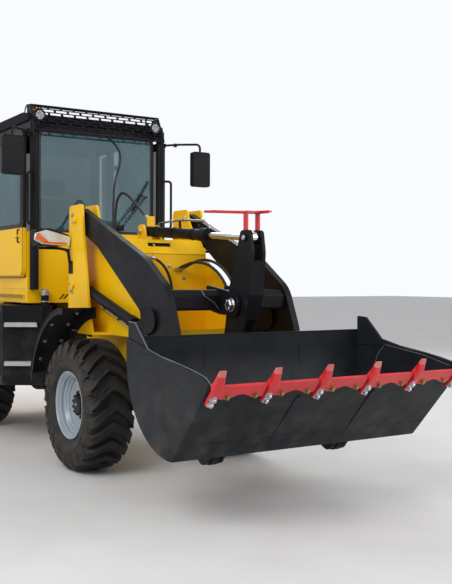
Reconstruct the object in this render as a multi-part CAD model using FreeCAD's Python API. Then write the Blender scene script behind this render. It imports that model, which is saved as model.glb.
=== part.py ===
"""Articulated backhoe loader: wheel loader in front, backhoe and stabiliser legs behind.

Machine frame while building: +X forward, +Y to the machine's left, +Z up, millimetres,
front axle at X = 0 and the ground at Z = 0.  The finished pieces are moved so that the
origin is under the middle of the whole machine.
"""
import FreeCAD
import Part
import math
import os

V = FreeCAD.Vector

# ---------------------------------------------------------------- driving dimensions
# running gear
WHEELBASE = 2750.0          # front axle to rear axle
TRACK = 1380.0              # tyre centre to tyre centre
TYRE_D = 1075.0
TYRE_W = 400.0
RIM_D = 552.0               # over the rim's flanges
RIM_SEAT_D = 508.0          # bead seat
RIM_W = 340.0               # over the flanges
HUB_R = 92.0
STUB_R = 45.0               # axle stub that carries the wheel hub
RUN_GAP = 0.05              # radial running clearance of pins and shafts
SIDE_GAP = 6.0              # side clearance between pieces that move

# front frame
ARTIC_X = -1375.0           # articulation pin
ARTIC_PIN_R = 42.0
LUG_R = 92.0
FRONT_LUGS = ((640.0, 680.0), (1020.0, 1060.0))    # bottom and top of each lug
REAR_LUGS = ((685.0, 727.0), (973.0, 1015.0))
TOWER_OUT = 603.0           # outer face of the tower's outer plate, from the middle
TOWER_OUT_T = 20.0
TOWER_IN = 440.0            # inner face of the tower's inner plate
TOWER_IN_T = 20.0
TOWER_TOP = 2205.0
FRAME_HALF = 315.0          # outer face of the lower frame's side plates
FRAME_T = 25.0
SHELF_Z = 1115.0            # top of the shelf that carries the towers
SHELF_T = 20.0
CROSS_X = 0.0               # front face of the plate between the towers

# hydraulic hoses
HOSE_D = 24.0
FITTING_R = 17.0

# lashing lugs: hole in the side view, inner face from the middle
LASHING_R = 24.0
LASHING_T = 22.0
FRONT_LASHING = (748.0, 830.0)
FRONT_LASHING_Y = 200.0
REAR_LASHING = (-WHEELBASE - 566.0, 470.0)   # behind the rear tyre, ahead of the carrier
REAR_LASHING_Y = 370.0

# loader
BOOM_PIVOT = (-460.0, 2075.0)
LIFT_BASE = (-500.0, 1512.0)
LIFT_EYE = (705.0, 1172.0)
BUCKET_PIVOT = (1680.0, 385.0)
ROCKER_PIVOT = (1262.0, 1375.0)
TILT_BASE = (-240.0, 1985.0)
TILT_EYE = (1380.0, 1868.0)
ROCKER_LOW = (1095.0, 935.0)
LINK_EYE = (1470.0, 576.0)
ARM_MID = 532.5             # middle of a boom arm, from the middle of the machine
ARM_T = 55.0
BUCKET_W = 2050.0
BUCKET_SHEET = 12.0
BUCKET_SIDE = 16.0
ROCKER_HALF = 62.0          # half width of the rocker over its plates
ROCKER_T = 24.0
PIN_R = 27.5
BORE_START = 100.0          # from a cylinder's base pin to the bottom of its bore
BACK_C = (1990.0, 1040.0)   # centre of the bucket's round back
BACK_R = 606.0
BACK_TOP = 1173.0           # height at which the round back ends
BOTTOM_TURN = 271.0         # angle at which the round back runs into the floor
FLOOR_END = (2466.0, 950.0)

# cab
CAB_HALF = 720.0
CAB_FRONT = -1330.0
CAB_REAR = -2850.0
CAB_FLOOR = 1335.0
CAB_ROOF = 3060.0           # underside of the roof
ROOF_T = 90.0
DOOR_FRONT = -1345.0
DOOR_REAR = -2380.0
DOOR_LOW = 1580.0
DOOR_TOP = 2975.0
DOOR_T = 36.0
SKIN_GAP = 5.0              # between the door and the cab's side
HINGE_BACK = 8.0            # hinge axis behind the door's rear edge
HINGE_OUT = 8.0             # hinge axis outside the door's outer face
HINGE_R = 14.0
HINGE_PIN_R = 6.0
HINGE_LEN = 60.0
HINGE_Z = (1700.0, 2720.0)
HINGE_BRACKET = 40.0        # depth of the hinge's bracket, from the hinge axis
POST_R = 42.0
SIDE_POST_IN = 75.0         # side posts' middle from the cab's outer face
DOOR_POST_BACK = 40.0       # door post's middle behind the door
GLASS_T = 6.0
SEAT_X = -2260.0            # swivel axis of the seat

# rear frame
RAIL_HALF = 330.0
RAIL_T = 28.0
RAIL_LOW = 600.0
RAIL_TOP = 960.0
TANK_OUT = 930.0
TANK_LOW = 560.0
TANK_TOP = 1312.0

# stabilisers
CARRIER_X = -WHEELBASE - 670.0         # middle of the carrier and of the stabiliser legs
CARRIER_D = 150.0
LEG_Y = 850.0
LEG_OUT = 150.0
LEG_IN = 120.0
LEG_GAP = 5.0               # between a leg and its guide, each side

# backhoe
SWING_X = CARRIER_X - 440.0           # swing post axis
LOW_LUG = (400.0, 440.0)    # heights of the carrier's lugs
HIGH_LUG = (840.0, 880.0)
KING_PIN_R = 40.0
HOE_FOOT = (SWING_X - 320.0, 700.0)  # boom foot pin
BOOM_ANGLE = 78.9           # folded boom, from level
BOOM_LENGTH = 2350.0
FOLD_ANGLE = 34.0           # between the folded boom and dipper
DIPPER_LENGTH = 1500.0
BUCKET_ANGLE = -10.0        # from the bucket's pin to its teeth, folded
LEVER_L = 330.0
LINK_L = 330.0
HOE_HALF = 85.0             # half width of the boom
DIPPER_HALF = 58.0
HOE_BUCKET_W = 560.0
HOE_PIN_R = 32.0            # boom's foot and tip pins
BUCKET_PIN_R = 30.0
LEVER_PIN_R = 26.0
EYE_R = 40.0                # cylinder eyes of the backhoe
RAM_EYE_HALF = 30.0
LINK_PIN_FROM_TEETH = -100.0    # angle at the bucket's pin, from its teeth to its link pin
LINK_PIN_REACH = 250.0
EAR_IN = 92.0               # inner face of the digging bucket's ears
EAR_T = 20.0

OUT = {}                    # node name -> shape in the machine frame


# ---------------------------------------------------------------- shape helpers
def box(x0, x1, y0, y1, z0, z1):
    return Part.makeBox(x1 - x0, y1 - y0, z1 - z0, V(x0, y0, z0))


def rod(radius, start, end):
    """Solid cylinder between two points."""
    a, b = V(*start), V(*end)
    return Part.makeCylinder(radius, (b - a).Length, a, b - a)


def ring(outer, inner, start, end):
    return rod(outer, start, end).cut(rod(inner, start, end))


def pin_y(point, radius, y0, y1):
    """Cylinder along Y through a point of the side view."""
    return rod(radius, (point[0], y0, point[1]), (point[0], y1, point[1]))


def rounded_wire(points):
    """Closed outline in the XY plane; each point is (x, y) or (x, y, corner radius)."""
    count = len(points)
    ends = []
    for i, p in enumerate(points):
        here = V(p[0], p[1], 0)
        radius = p[2] if len(p) > 2 else 0.0
        before = V(*points[i - 1][:2], 0) - here
        after = V(*points[(i + 1) % count][:2], 0) - here
        if radius <= 0:
            ends.append((here, None, here))
            continue
        half = before.getAngle(after) / 2.0
        reach = radius / math.tan(half)
        before.normalize()
        after.normalize()
        middle = before + after
        middle.normalize()
        tip = here + middle * (radius / math.sin(half) - radius)
        ends.append((here + before * reach, tip, here + after * reach))
    edges = []
    for i, (start, tip, end) in enumerate(ends):
        if tip is not None:
            edges.append(Part.Arc(start, tip, end).toShape())
        following = ends[(i + 1) % count][0]
        if (following - end).Length > 1e-6:
            edges.append(Part.LineSegment(end, following).toShape())
    return Part.Wire(edges)


def plate_xz(points, y0, y1):
    """Plate seen from the side: outline in X and Z, from y0 to y1."""
    face = Part.Face(rounded_wire(points))
    face.rotate(V(0, 0, 0), V(1, 0, 0), 90)
    face.translate(V(0, y1, 0))
    return face.extrude(V(0, y0 - y1, 0))


def plate_xy(points, z0, z1):
    face = Part.Face(rounded_wire(points))
    face.translate(V(0, 0, z0))
    return face.extrude(V(0, 0, z1 - z0))


def plate_yz(points, x0, x1):
    """Plate seen from the front: outline in Y and Z, from x0 to x1."""
    face = Part.Face(rounded_wire(points))
    face.rotate(V(0, 0, 0), V(1, 1, 1), 120)
    face.translate(V(x0, 0, 0))
    return face.extrude(V(x1 - x0, 0, 0))


def mirrored(shape):
    return shape.mirror(V(0, 0, 0), V(0, 1, 0))


def pair(shape):
    """The shape and its mirror image on the machine's other side."""
    return [shape, mirrored(shape)]


def fuse(shapes):
    shapes = [s for s in shapes if s is not None]
    whole = shapes[0]
    if len(shapes) > 1:
        whole = whole.multiFuse(shapes[1:])
    return whole.removeSplitter()


def toward(start, end, distance):
    """Point in the side view at a distance from start towards end."""
    span = math.hypot(end[0] - start[0], end[1] - start[1])
    return (start[0] + (end[0] - start[0]) * distance / span,
            start[1] + (end[1] - start[1]) * distance / span)


def at_y(point, y):
    return (point[0], y, point[1])


def arm_outline(a, ra, b, rb):
    """Side-view outline of a link with round ends: tangent lines between two circles."""
    dx, dz = b[0] - a[0], b[1] - a[1]
    span = math.hypot(dx, dz)
    base = math.atan2(dz, dx)
    turn = math.acos((ra - rb) / span)
    points = []
    for centre, radius, first, last in ((a, ra, base + turn, base + 2 * math.pi - turn),
                                        (b, rb, base - turn, base + turn)):
        mid = (first + last) / 2
        points.append([V(centre[0] + radius * math.cos(t), centre[1] + radius * math.sin(t), 0)
                       for t in (first, mid, last)])
    edges = [Part.Arc(*points[0]).toShape(), Part.LineSegment(points[0][2], points[1][0]).toShape(),
             Part.Arc(*points[1]).toShape(), Part.LineSegment(points[1][2], points[0][0]).toShape()]
    return Part.Wire(edges)


def link_plate(a, ra, b, rb, y0, y1):
    face = Part.Face(arm_outline(a, ra, b, rb))
    face.rotate(V(0, 0, 0), V(1, 0, 0), 90)
    face.translate(V(0, y1, 0))
    return face.extrude(V(0, y0 - y1, 0))


def pipe(points, radius, bend):
    """Round bar or tube along straight runs joined by tangent arcs of one bend radius."""
    vectors = [V(*p) for p in points]
    edges = []
    start = vectors[0]
    for i in range(1, len(vectors) - 1):
        here = vectors[i]
        before, after = vectors[i - 1] - here, vectors[i + 1] - here
        half = before.getAngle(after) / 2.0
        reach = bend / math.tan(half)
        before.normalize()
        after.normalize()
        middle = before + after
        middle.normalize()
        first, last = here + before * reach, here + after * reach
        edges.append(Part.LineSegment(start, first).toShape())
        edges.append(Part.Arc(first, here + middle * (bend / math.sin(half) - bend), last).toShape())
        start = last
    edges.append(Part.LineSegment(start, vectors[-1]).toShape())
    path = Part.Wire(edges)
    circle = Part.Wire(Part.Circle(vectors[0], vectors[1] - vectors[0], radius).toShape())
    return path.makePipeShell([circle], True, False)


def cylinder_barrel(base, eye, y, outer, length, eye_r, eye_half, pin_r):
    """Hydraulic cylinder barrel: base eye, tube and gland, along base -> eye in the side view."""
    head = toward(base, eye, length)
    tube = rod(outer, at_y(toward(base, eye, eye_r + 36), y), at_y(head, y))
    neck = rod(min(outer, eye_half) - 1, at_y(base, y), at_y(toward(base, eye, eye_r + 44), y))
    gland = rod(outer + 7, at_y(toward(base, eye, length - 70), y), at_y(head, y))
    lug = pin_y(base, eye_r, y - eye_half, y + eye_half)
    body = fuse([tube, neck, gland, lug])
    return body.cut(pin_y(base, pin_r + RUN_GAP, y - eye_half - 1, y + eye_half + 1))


def bore_for_rod(barrel, base, eye, y, radius, length):
    """Opens the barrel for its rod."""
    start = toward(base, eye, BORE_START)
    end = toward(base, eye, length + 1)
    return barrel.cut(rod(radius + RUN_GAP, at_y(start, y), at_y(end, y)))


def cylinder_rod(base, eye, y, radius, start_at, eye_r, eye_half):
    """Rod from inside the barrel to its eye."""
    bar = rod(radius, at_y(toward(base, eye, start_at), y), at_y(eye, y))
    return fuse([bar, pin_y(eye, eye_r, y - eye_half, y + eye_half)])


# ---------------------------------------------------------------- wheels and axles
AXLE_Z = TYRE_D / 2


def revolve_y(points, x, z):
    """Solid of revolution about the axle: outline in (distance along Y, radius)."""
    face = Part.Face(rounded_wire(points))
    face.rotate(V(0, 0, 0), V(1, 1, 1), 120)
    face.translate(V(x, 0, z))
    return face.revolve(V(x, 0, z), V(0, 1, 0), 360)


def tyre(x, y):
    seat, half, crown = RIM_SEAT_D / 2, TYRE_W / 2, TYRE_D / 2
    bead = RIM_W / 2 - 14
    outline = [(y - bead, seat), (y + bead, seat), (y + bead, seat + 40, 10), (y + half, seat + 95, 40),
               (y + half, crown - 95, 50), (y + half - 30, crown - 12, 20), (y + 60, crown), (y - 60, crown),
               (y - half + 30, crown - 12, 20), (y - half, crown - 95, 50), (y - half, seat + 95, 40),
               (y - bead, seat + 40, 10)]
    return revolve_y(outline, x, AXLE_Z)


def rim(x, y):
    """Flanged barrel with its disc set deep, and the hub cover in the middle."""
    side = 1 if y > 0 else -1
    seat, flange, half = RIM_SEAT_D / 2, RIM_D / 2, RIM_W / 2
    barrel = revolve_y([(y - half, flange), (y - half, flange - 34), (y + half, flange - 34),
                        (y + half, flange), (y + half - 14, flange), (y + half - 14, seat),
                        (y - half + 14, seat), (y - half + 14, flange)], x, AXLE_Z)
    disc_face = y + side * 10
    disc = rod(seat - 4, (x, disc_face - side * 16, AXLE_Z), (x, disc_face, AXLE_Z))
    hub = rod(HUB_R, (x, y - side * 70, AXLE_Z), (x, y + side * 55, AXLE_Z))
    cap = rod(HUB_R - 30, (x, y + side * 55, AXLE_Z), (x, y + side * 72, AXLE_Z))
    wheel = fuse([barrel, disc, hub, cap])
    bore = rod(STUB_R + RUN_GAP, (x, y - side * 71, AXLE_Z), (x, y + side * 41, AXLE_Z))
    return wheel.cut(bore)


def axle(x, frame_half, frame_low):
    """Drive axle: differential, tapered tubes, brake drums, stubs and the pads under the frame."""
    drum_out = TRACK / 2 - 76
    outline = [(-drum_out, 0), (-drum_out, 165, 12), (-drum_out + 95, 165, 12), (-drum_out + 115, 95, 20),
               (-260, 78, 60), (-170, 130, 60), (-110, 205, 60), (60, 215, 60), (150, 120, 60), (260, 78, 60),
               (drum_out - 115, 95, 20), (drum_out - 95, 165, 12), (drum_out, 165, 12), (drum_out, 0)]
    body = revolve_y(outline, x, AXLE_Z)
    stub = rod(STUB_R, (x, -TRACK / 2 - 40, AXLE_Z), (x, TRACK / 2 + 40, AXLE_Z))
    nose = rod(70, (x, -20, AXLE_Z), (x + (ARTIC_X - x) * 0.22, -20, AXLE_Z + 20))
    pads = pair(box(x - 75, x + 75, frame_half - 75, frame_half + 15, AXLE_Z, frame_low))
    return fuse([body, stub, nose] + pads)


def build_wheels():
    for row, x in (("front", 0.0), ("rear", -WHEELBASE)):
        for side, y in (("left", TRACK / 2), ("right", -TRACK / 2)):
            OUT["tyre_%s_%s" % (row, side)] = tyre(x, y)
            OUT["rim_%s_%s" % (row, side)] = rim(x, y)
    OUT["front_axle"] = axle(0.0, FRAME_HALF - 20, 640.0)
    OUT["rear_axle"] = axle(-WHEELBASE, RAIL_HALF - 20, RAIL_LOW + 25)


# ---------------------------------------------------------------- front frame


def front_lug(z0, z1):
    """Front frame's half of the articulation: plate with a round end at the pin."""
    ear = plate_xy([(ARTIC_X, -LUG_R), (ARTIC_X + 165, -145), (ARTIC_X + 260, -200), (ARTIC_X + 260, 200),
                    (ARTIC_X + 165, 145), (ARTIC_X, LUG_R)], z0, z1)
    return ear.fuse(rod(LUG_R, (ARTIC_X, 0, z0), (ARTIC_X, 0, z1)))


def tower():
    """Left tower: inner and outer plate with the pins of the boom and the lift cylinder."""
    inner = plate_xz([(-620, SHELF_Z), (700, SHELF_Z), (700, 1195, 20), (640, 1290, 30), (-95, 1800, 60),
                      (-300, 2080, 60), (-345, TOWER_TOP, 30), (-600, TOWER_TOP, 45)],
                     TOWER_IN, TOWER_IN + TOWER_IN_T)
    outer = plate_xz([(-620, SHELF_Z), (-110, SHELF_Z), (-180, 1315, 60), (-300, 1950, 60),
                      (-330, TOWER_TOP, 30), (-600, TOWER_TOP, 45)],
                     TOWER_OUT - TOWER_OUT_T, TOWER_OUT)
    back = box(-620, -600, TOWER_IN, TOWER_OUT, SHELF_Z, 1420)
    pins = [pin_y(BOOM_PIVOT, PIN_R + 4, TOWER_IN - 6, TOWER_OUT + 8),
            pin_y(LIFT_BASE, PIN_R, TOWER_IN - 6, TOWER_OUT + 8)]
    return fuse([inner, outer, back] + pins)


def tilt_bracket():
    """Two ears on the cross plate that hold the tilt cylinder's base pin."""
    x, z = TILT_BASE
    ear = plate_xz([(x - 58, z - 60, 40), (x - 58, z + 58, 50), (x + 50, z + 58, 50), (x + 85, z - 60, 40),
                    (CROSS_X - 10, 1790), (CROSS_X - 10, 1500), (CROSS_X - 70, 1560, 40)], 62, 84)
    return pair(ear) + [pin_y(TILT_BASE, PIN_R, -92, 92)]


def lashing_lug(hole, root_x, y):
    """Plate with a hole for a transport chain's shackle, standing out from a wall at root_x."""
    x, z = hole
    lug = link_plate(hole, 46, (root_x, z), 58, y, y + LASHING_T)
    side = -1 if root_x > x else 1
    lug = lug.common(box(min(root_x, x + side * 60), max(root_x, x + side * 60), y - 1, y + LASHING_T + 1,
                         z - 60, z + 60))
    return lug.cut(pin_y(hole, LASHING_R, y - 1, y + LASHING_T + 1))


def front_frame():
    side = plate_xz([(-870, 640), (640, 640), (700, 760, 40), (700, SHELF_Z), (-870, SHELF_Z)],
                    FRAME_HALF - FRAME_T, FRAME_HALF)
    neck = plate_xy([(-870, FRAME_HALF), (-870, FRAME_HALF - FRAME_T), (ARTIC_X + 165, 120),
                     (ARTIC_X + 165, 145)], 640, 1060)
    neck_end = box(ARTIC_X + 140, ARTIC_X + 165, -145, 145, 640, 1060)
    belly = box(-870, 640, -FRAME_HALF, FRAME_HALF, 640, 655).cut(box(-245, 245, -235, 235, 630, 660))
    front_wall = box(676, 700, -FRAME_HALF, FRAME_HALF, 760, 1165)
    back_wall = box(-870, -850, -FRAME_HALF, FRAME_HALF, 640, SHELF_Z)
    cross = plate_xz([(CROSS_X, SHELF_Z), (CROSS_X, 1790, 20), (CROSS_X - 82, 1908), (CROSS_X - 92, 1901),
                      (CROSS_X - 12, 1785, 20), (CROSS_X - 12, SHELF_Z)], -TOWER_IN, TOWER_IN)
    slot = box(CROSS_X - 200, CROSS_X + 100, -110, 110, 1846, 1878)
    beam = box(-330, CROSS_X, -TOWER_IN, TOWER_IN, SHELF_Z, SHELF_Z + 20)
    pin = rod(ARTIC_PIN_R, (ARTIC_X, 0, 632), (ARTIC_X, 0, 1072))
    wing = TOWER_IN + TOWER_IN_T
    shelf = plate_xy([(-620, FRAME_HALF - FRAME_T), (-620, TOWER_OUT), (-110, TOWER_OUT), (-40, wing),
                      (700, wing), (700, FRAME_HALF - FRAME_T)], SHELF_Z - SHELF_T, SHELF_Z)
    lugs = [front_lug(z0, z1) for z0, z1 in FRONT_LUGS]
    parts = [cross.cut(slot), belly, front_wall, back_wall, neck_end, beam, pin] + lugs + tilt_bracket()
    parts += hose_fittings()
    for piece in (side, neck, shelf, lashing_lug(FRONT_LASHING, 700, FRONT_LASHING_Y)):
        parts += pair(piece)
    return fuse(parts)


# hoses: routes from fitting to fitting, first and last points on the fittings' faces
ARCH_HOSE = [(-1120, 40, 1085), (-1112, 40, 1300), (-1085, 38, 1560), (-1040, 34, 1820), (-1000, 30, 2030),
             (-988, 30, 2190), (-955, 30, 2325), (-850, 30, 2385), (-715, 30, 2340), (-570, 30, 2258),
             (-440, 30, 2172), (-332, 30, 2110)]
DOWN_HOSES = [[(62, -225, 1718), (64, -150, 1690), (66, -88, 1638), (66, -40, 1568), (64, -10, 1486),
               (60, 6, 1392), (54, 11, 1310), (46, 14, 1245)],
              [(62, -140, 1752), (64, -68, 1726), (66, -8, 1670), (66, 34, 1598), (64, 60, 1508),
               (58, 72, 1404), (50, 74, 1317), (44, 76, 1245)]]
OVER_HOSES = [[(25, 139, 1655), (120, 146, 1680), (250, 168, 1712), (390, 212, 1700), (505, 262, 1620),
               (572, 302, 1500), (598, 325, 1370), (604, 335, 1245), (605, 336, 1140)],
              [(25, 190, 1655), (125, 198, 1690), (265, 220, 1732), (410, 262, 1722), (530, 314, 1638),
               (600, 354, 1512), (626, 378, 1378), (634, 388, 1248), (635, 390, 1140)]]


def bend_radii(points):
    """Largest arc at each corner: 0.45 of the shorter run over the tangent of half the turn."""
    radii = []
    for before, here, after in zip(points, points[1:], points[2:]):
        run_in, run_out = V(*here) - V(*before), V(*after) - V(*here)
        turn = run_in.getAngle(run_out)
        radii.append(0.45 * min(run_in.Length, run_out.Length) / math.tan(turn / 2))
    return radii


def hose(points):
    """Tube of straight runs joined by tangent arcs, each as large as its runs allow."""
    edges = []
    start = V(*points[0])
    for (before, here, after), radius in zip(zip(points, points[1:], points[2:]), bend_radii(points)):
        corner = V(*here)
        back, on = V(*before) - corner, V(*after) - corner
        half = back.getAngle(on) / 2
        back.normalize()
        on.normalize()
        middle = back + on
        middle.normalize()
        reach = radius / math.tan(half)
        first, last = corner + back * reach, corner + on * reach
        edges.append(Part.LineSegment(start, first).toShape())
        edges.append(Part.Arc(first, corner + middle * (radius / math.sin(half) - radius), last).toShape())
        start = last
    edges.append(Part.LineSegment(start, V(*points[-1])).toShape())
    circle = Part.Wire(Part.Circle(V(*points[0]), V(*points[1]) - V(*points[0]), HOSE_D / 2).toShape())
    return Part.Wire(edges).makePipeShell([circle], True, False)


def hose_fitting(end, inner, length):
    """Fitting that a hose's end sits on, in line with its last run."""
    here = V(*end)
    way = here - V(*inner)
    way.normalize()
    return Part.makeCylinder(FITTING_R, length, here, way)


def hose_fittings():
    """Fittings on the cross plate, the shelf, the neck and the tilt bracket, with their carriers."""
    pieces = [hose_fitting(ARCH_HOSE[0], ARCH_HOSE[1], 27), hose_fitting(ARCH_HOSE[-1], ARCH_HOSE[-2], 36),
              box(-302, -292, 10, 84, 1960, 2125), box(-1150, -1090, 10, 70, 1040, 1062),
              box(0, 72, -12, 102, 1205, 1225)]
    for route in DOWN_HOSES:
        x, y, z = route[0]
        pieces += [hose_fitting(route[0], route[1], 26), hose_fitting(route[-1], route[-2], 28),
                   box(0, x + FITTING_R, y - 44, y - 16, z - 14, z + 22)]
    for route in OVER_HOSES:
        pieces += [hose_fitting(route[0], route[1], 28), hose_fitting(route[-1], route[-2], 27)]
    return pieces


def report_hoses():
    """Prints each hose's tightest bend and compares its volume with its section times its length."""
    for route in [ARCH_HOSE] + DOWN_HOSES + OVER_HOSES:
        radii = bend_radii(route)
        tube = hose(route)
        length = tube.Volume / (math.pi * HOSE_D ** 2 / 4)
        print("hose radii", [round(r) for r in radii], "length", round(length))


def front_fenders():
    """Curved sheet behind and above each front tyre, carried by the tower's outer plate."""
    radius, sheet = 790.0, 6.0
    outer = rod(radius, (0, TOWER_OUT, AXLE_Z), (0, 900, AXLE_Z))
    inner = rod(radius - sheet, (0, TOWER_OUT - 1, AXLE_Z), (0, 901, AXLE_Z))
    low = AXLE_Z + radius * math.sin(math.radians(15))
    keep = box(-radius - 10, -30, TOWER_OUT - 5, 905, low, AXLE_Z + radius + 10)
    arc = outer.cut(inner).common(keep)
    flange = rod(radius, (0, 894, AXLE_Z), (0, 900, AXLE_Z)).cut(
        rod(radius - 45, (0, 893, AXLE_Z), (0, 901, AXLE_Z))).common(keep)
    stay = rod(radius, (0, TOWER_OUT, AXLE_Z), (0, TOWER_OUT + 6, AXLE_Z)).cut(
        rod(radius - 90, (0, TOWER_OUT - 1, AXLE_Z), (0, TOWER_OUT + 7, AXLE_Z))).common(keep)
    return fuse([arc, flange, stay])


def headlamp():
    """Slanted lamp body, lens forward."""
    return plate_yz([(620, 1862, 15), (700, 1846, 20), (905, 1850, 20), (932, 1925, 25), (925, 1990, 20),
                     (800, 2000, 30), (622, 1950, 15)], -700, -562)


def lamp_bracket():
    plate = box(-600, -520, TOWER_OUT, TOWER_OUT + 8, 1610, 1720)
    arm = pipe([(-560, TOWER_OUT + 12, 1700), (-560, TOWER_OUT + 30, 1815), (-630, 690, 1832),
                (-630, 880, 1832)], 12, 25)
    return fuse([plate, arm])


# ---------------------------------------------------------------- loader
def loader_arm():
    """One cranked arm plate with its end bosses and the fork of the lift cylinder's eye."""
    y0, y1 = ARM_MID - ARM_T / 2, ARM_MID + ARM_T / 2
    px, pz = BOOM_PIVOT
    bx, bz = BUCKET_PIVOT
    plate = plate_xz([(px - 70, pz - 60, 50), (px - 60, pz + 105, 60), (px + 40, pz + 100, 60), (332, 1883, 400),
                      (732, 1732, 500), (1090, 1500, 260), (1217, 1200, 300), (1285, 900, 200), (1420, 670, 120),
                      (1600, 520, 60), (bx + 72, bz + 80, 60), (bx + 72, bz - 72, 66), (bx - 90, bz - 72, 60),
                      (1300, 500, 200), (1020, 820, 200), (860, 1040, 120), (680, 1088, 60), (640, 1180, 60),
                      (730, 1290, 80), (-108, 1838, 300)], y0, y1)
    plate = plate.cut(pin_y(BOOM_PIVOT, PIN_R + 4 + RUN_GAP, y0 - 40, y1 + 40))
    foot = ring(78, PIN_R + 4 + RUN_GAP, (px, y0 - 16, pz), (px, y1 + 16, pz))
    ex, ez = LIFT_EYE
    cheek = link_plate(LIFT_EYE, 62, (ex + 170, ez + 80), 90, ARM_MID + 34, ARM_MID + 52)
    spacer = plate_xz([(ex + 95, ez - 10), (ex + 245, ez + 30), (ex + 215, ez + 160), (ex + 85, ez + 120)],
                      ARM_MID - 34, ARM_MID + 34)
    other = cheek.copy()
    other.translate(V(0, -86, 0))
    pocket = pin_y(LIFT_EYE, 102, ARM_MID - 34, ARM_MID + 34)
    boss = pin_y(BUCKET_PIVOT, 66, ARM_MID - 40, ARM_MID + 40)
    arm = fuse([plate, foot, cheek, other, spacer, boss]).cut(pocket)
    caps = [pin_y(LIFT_EYE, 30, ARM_MID + 40, ARM_MID + 62), pin_y(LIFT_EYE, 30, ARM_MID - 62, ARM_MID - 40)]
    arm = fuse([arm] + caps)
    return arm.cut(pin_y(BUCKET_PIVOT, PIN_R + RUN_GAP, ARM_MID - 60, ARM_MID + 60))


def loader_boom():
    """Both arms, the cross member between them and the rocker's bracket plates."""
    inner = ARM_MID - ARM_T / 2
    rx = ROCKER_PIVOT[0]
    member = plate_xz([(880, 1330, 20), (1100, 1330, 20), (1100, 1440, 20), (1060, 1485, 20), (880, 1485, 20)],
                      -inner, inner)
    bracket = plate_xz([(880, 1335, 10), (1080, 1300, 40), (rx + 60, 1290, 60),
                        (rx + 88, 1440, 70), (1180, 1480, 60), (890, 1520, 20)],
                       ROCKER_HALF + 8, ROCKER_HALF + 30)
    pin = pin_y(ROCKER_PIVOT, PIN_R + 4, -ROCKER_HALF - 42, ROCKER_HALF + 42)
    return fuse(pair(loader_arm()) + pair(bracket) + [member, pin])


def lift_cylinders():
    barrels, rods = [], []
    for y in (ARM_MID, -ARM_MID):
        barrel = cylinder_barrel(LIFT_BASE, LIFT_EYE, y, 42, 1085, 44, 40, PIN_R)
        barrels.append(bore_for_rod(barrel, LIFT_BASE, LIFT_EYE, y, 25, 1085))
        rods.append(cylinder_rod(LIFT_BASE, LIFT_EYE, y, 25, BORE_START + 70, 44, 28))
    OUT["lift_barrels"] = Part.makeCompound(barrels)
    OUT["lift_rods"] = Part.makeCompound(rods)


def tilt_cylinder():
    barrel = cylinder_barrel(TILT_BASE, TILT_EYE, 0, 45, 1010, 46, 54, PIN_R)
    OUT["tilt_barrel"] = bore_for_rod(barrel, TILT_BASE, TILT_EYE, 0, 25, 1010)
    OUT["tilt_rod"] = cylinder_rod(TILT_BASE, TILT_EYE, 0, 25, BORE_START + 510, 45, 30)


def rocker():
    """Z-bar rocker: two plates with an open fork at both ends and a web across the front."""
    outline = [(1318, 1925, 40), (1442, 1925, 40), (1470, 1760, 200), (1440, 1450, 200), (1345, 1180, 200),
               (1160, 872, 55), (1036, 880, 55), (1105, 1160, 200), (1168, 1500, 200), (1280, 1800, 200)]
    cheek = plate_xz(outline, ROCKER_HALF - ROCKER_T, ROCKER_HALF)
    web = plate_xz([(1462, 1700), (1440, 1450), (1375, 1265), (1350, 1275), (1412, 1455), (1436, 1700)],
                   -ROCKER_HALF, ROCKER_HALF)
    hub = pin_y(ROCKER_PIVOT, 78, -ROCKER_HALF, ROCKER_HALF)
    low_pin = pin_y(ROCKER_LOW, PIN_R, -ROCKER_HALF - 6, ROCKER_HALF + 6)
    caps = pair(pin_y(TILT_EYE, 26, ROCKER_HALF - 12, ROCKER_HALF + 10))
    whole = fuse(pair(cheek) + [web, hub, low_pin] + caps)
    return whole.cut(pin_y(ROCKER_PIVOT, PIN_R + 4 + RUN_GAP, -100, 100))


def level_rod():
    """Red bucket-level pointer on the rocker's head."""
    legs = [box(1352, 1400, -58, -46, 1925, 2052), box(1352, 1400, 46, 58, 1925, 2052)]
    top = box(1340, 1412, -66, 92, 2052, 2064)
    bar = plate_xz([(1340, 2052), (1500, 2052), (1500, 2064), (1340, 2068), (705, 2118), (705, 2108)], 66, 92)
    return fuse(legs + [top, bar])


def tilt_link():
    plate = link_plate(ROCKER_LOW, 48, LINK_EYE, 44, -32, 32)
    plate = plate.cut(pin_y(ROCKER_LOW, PIN_R + RUN_GAP, -40, 40))
    return plate


# bucket: round back, straight floor and a lip that rises to the rear


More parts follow.
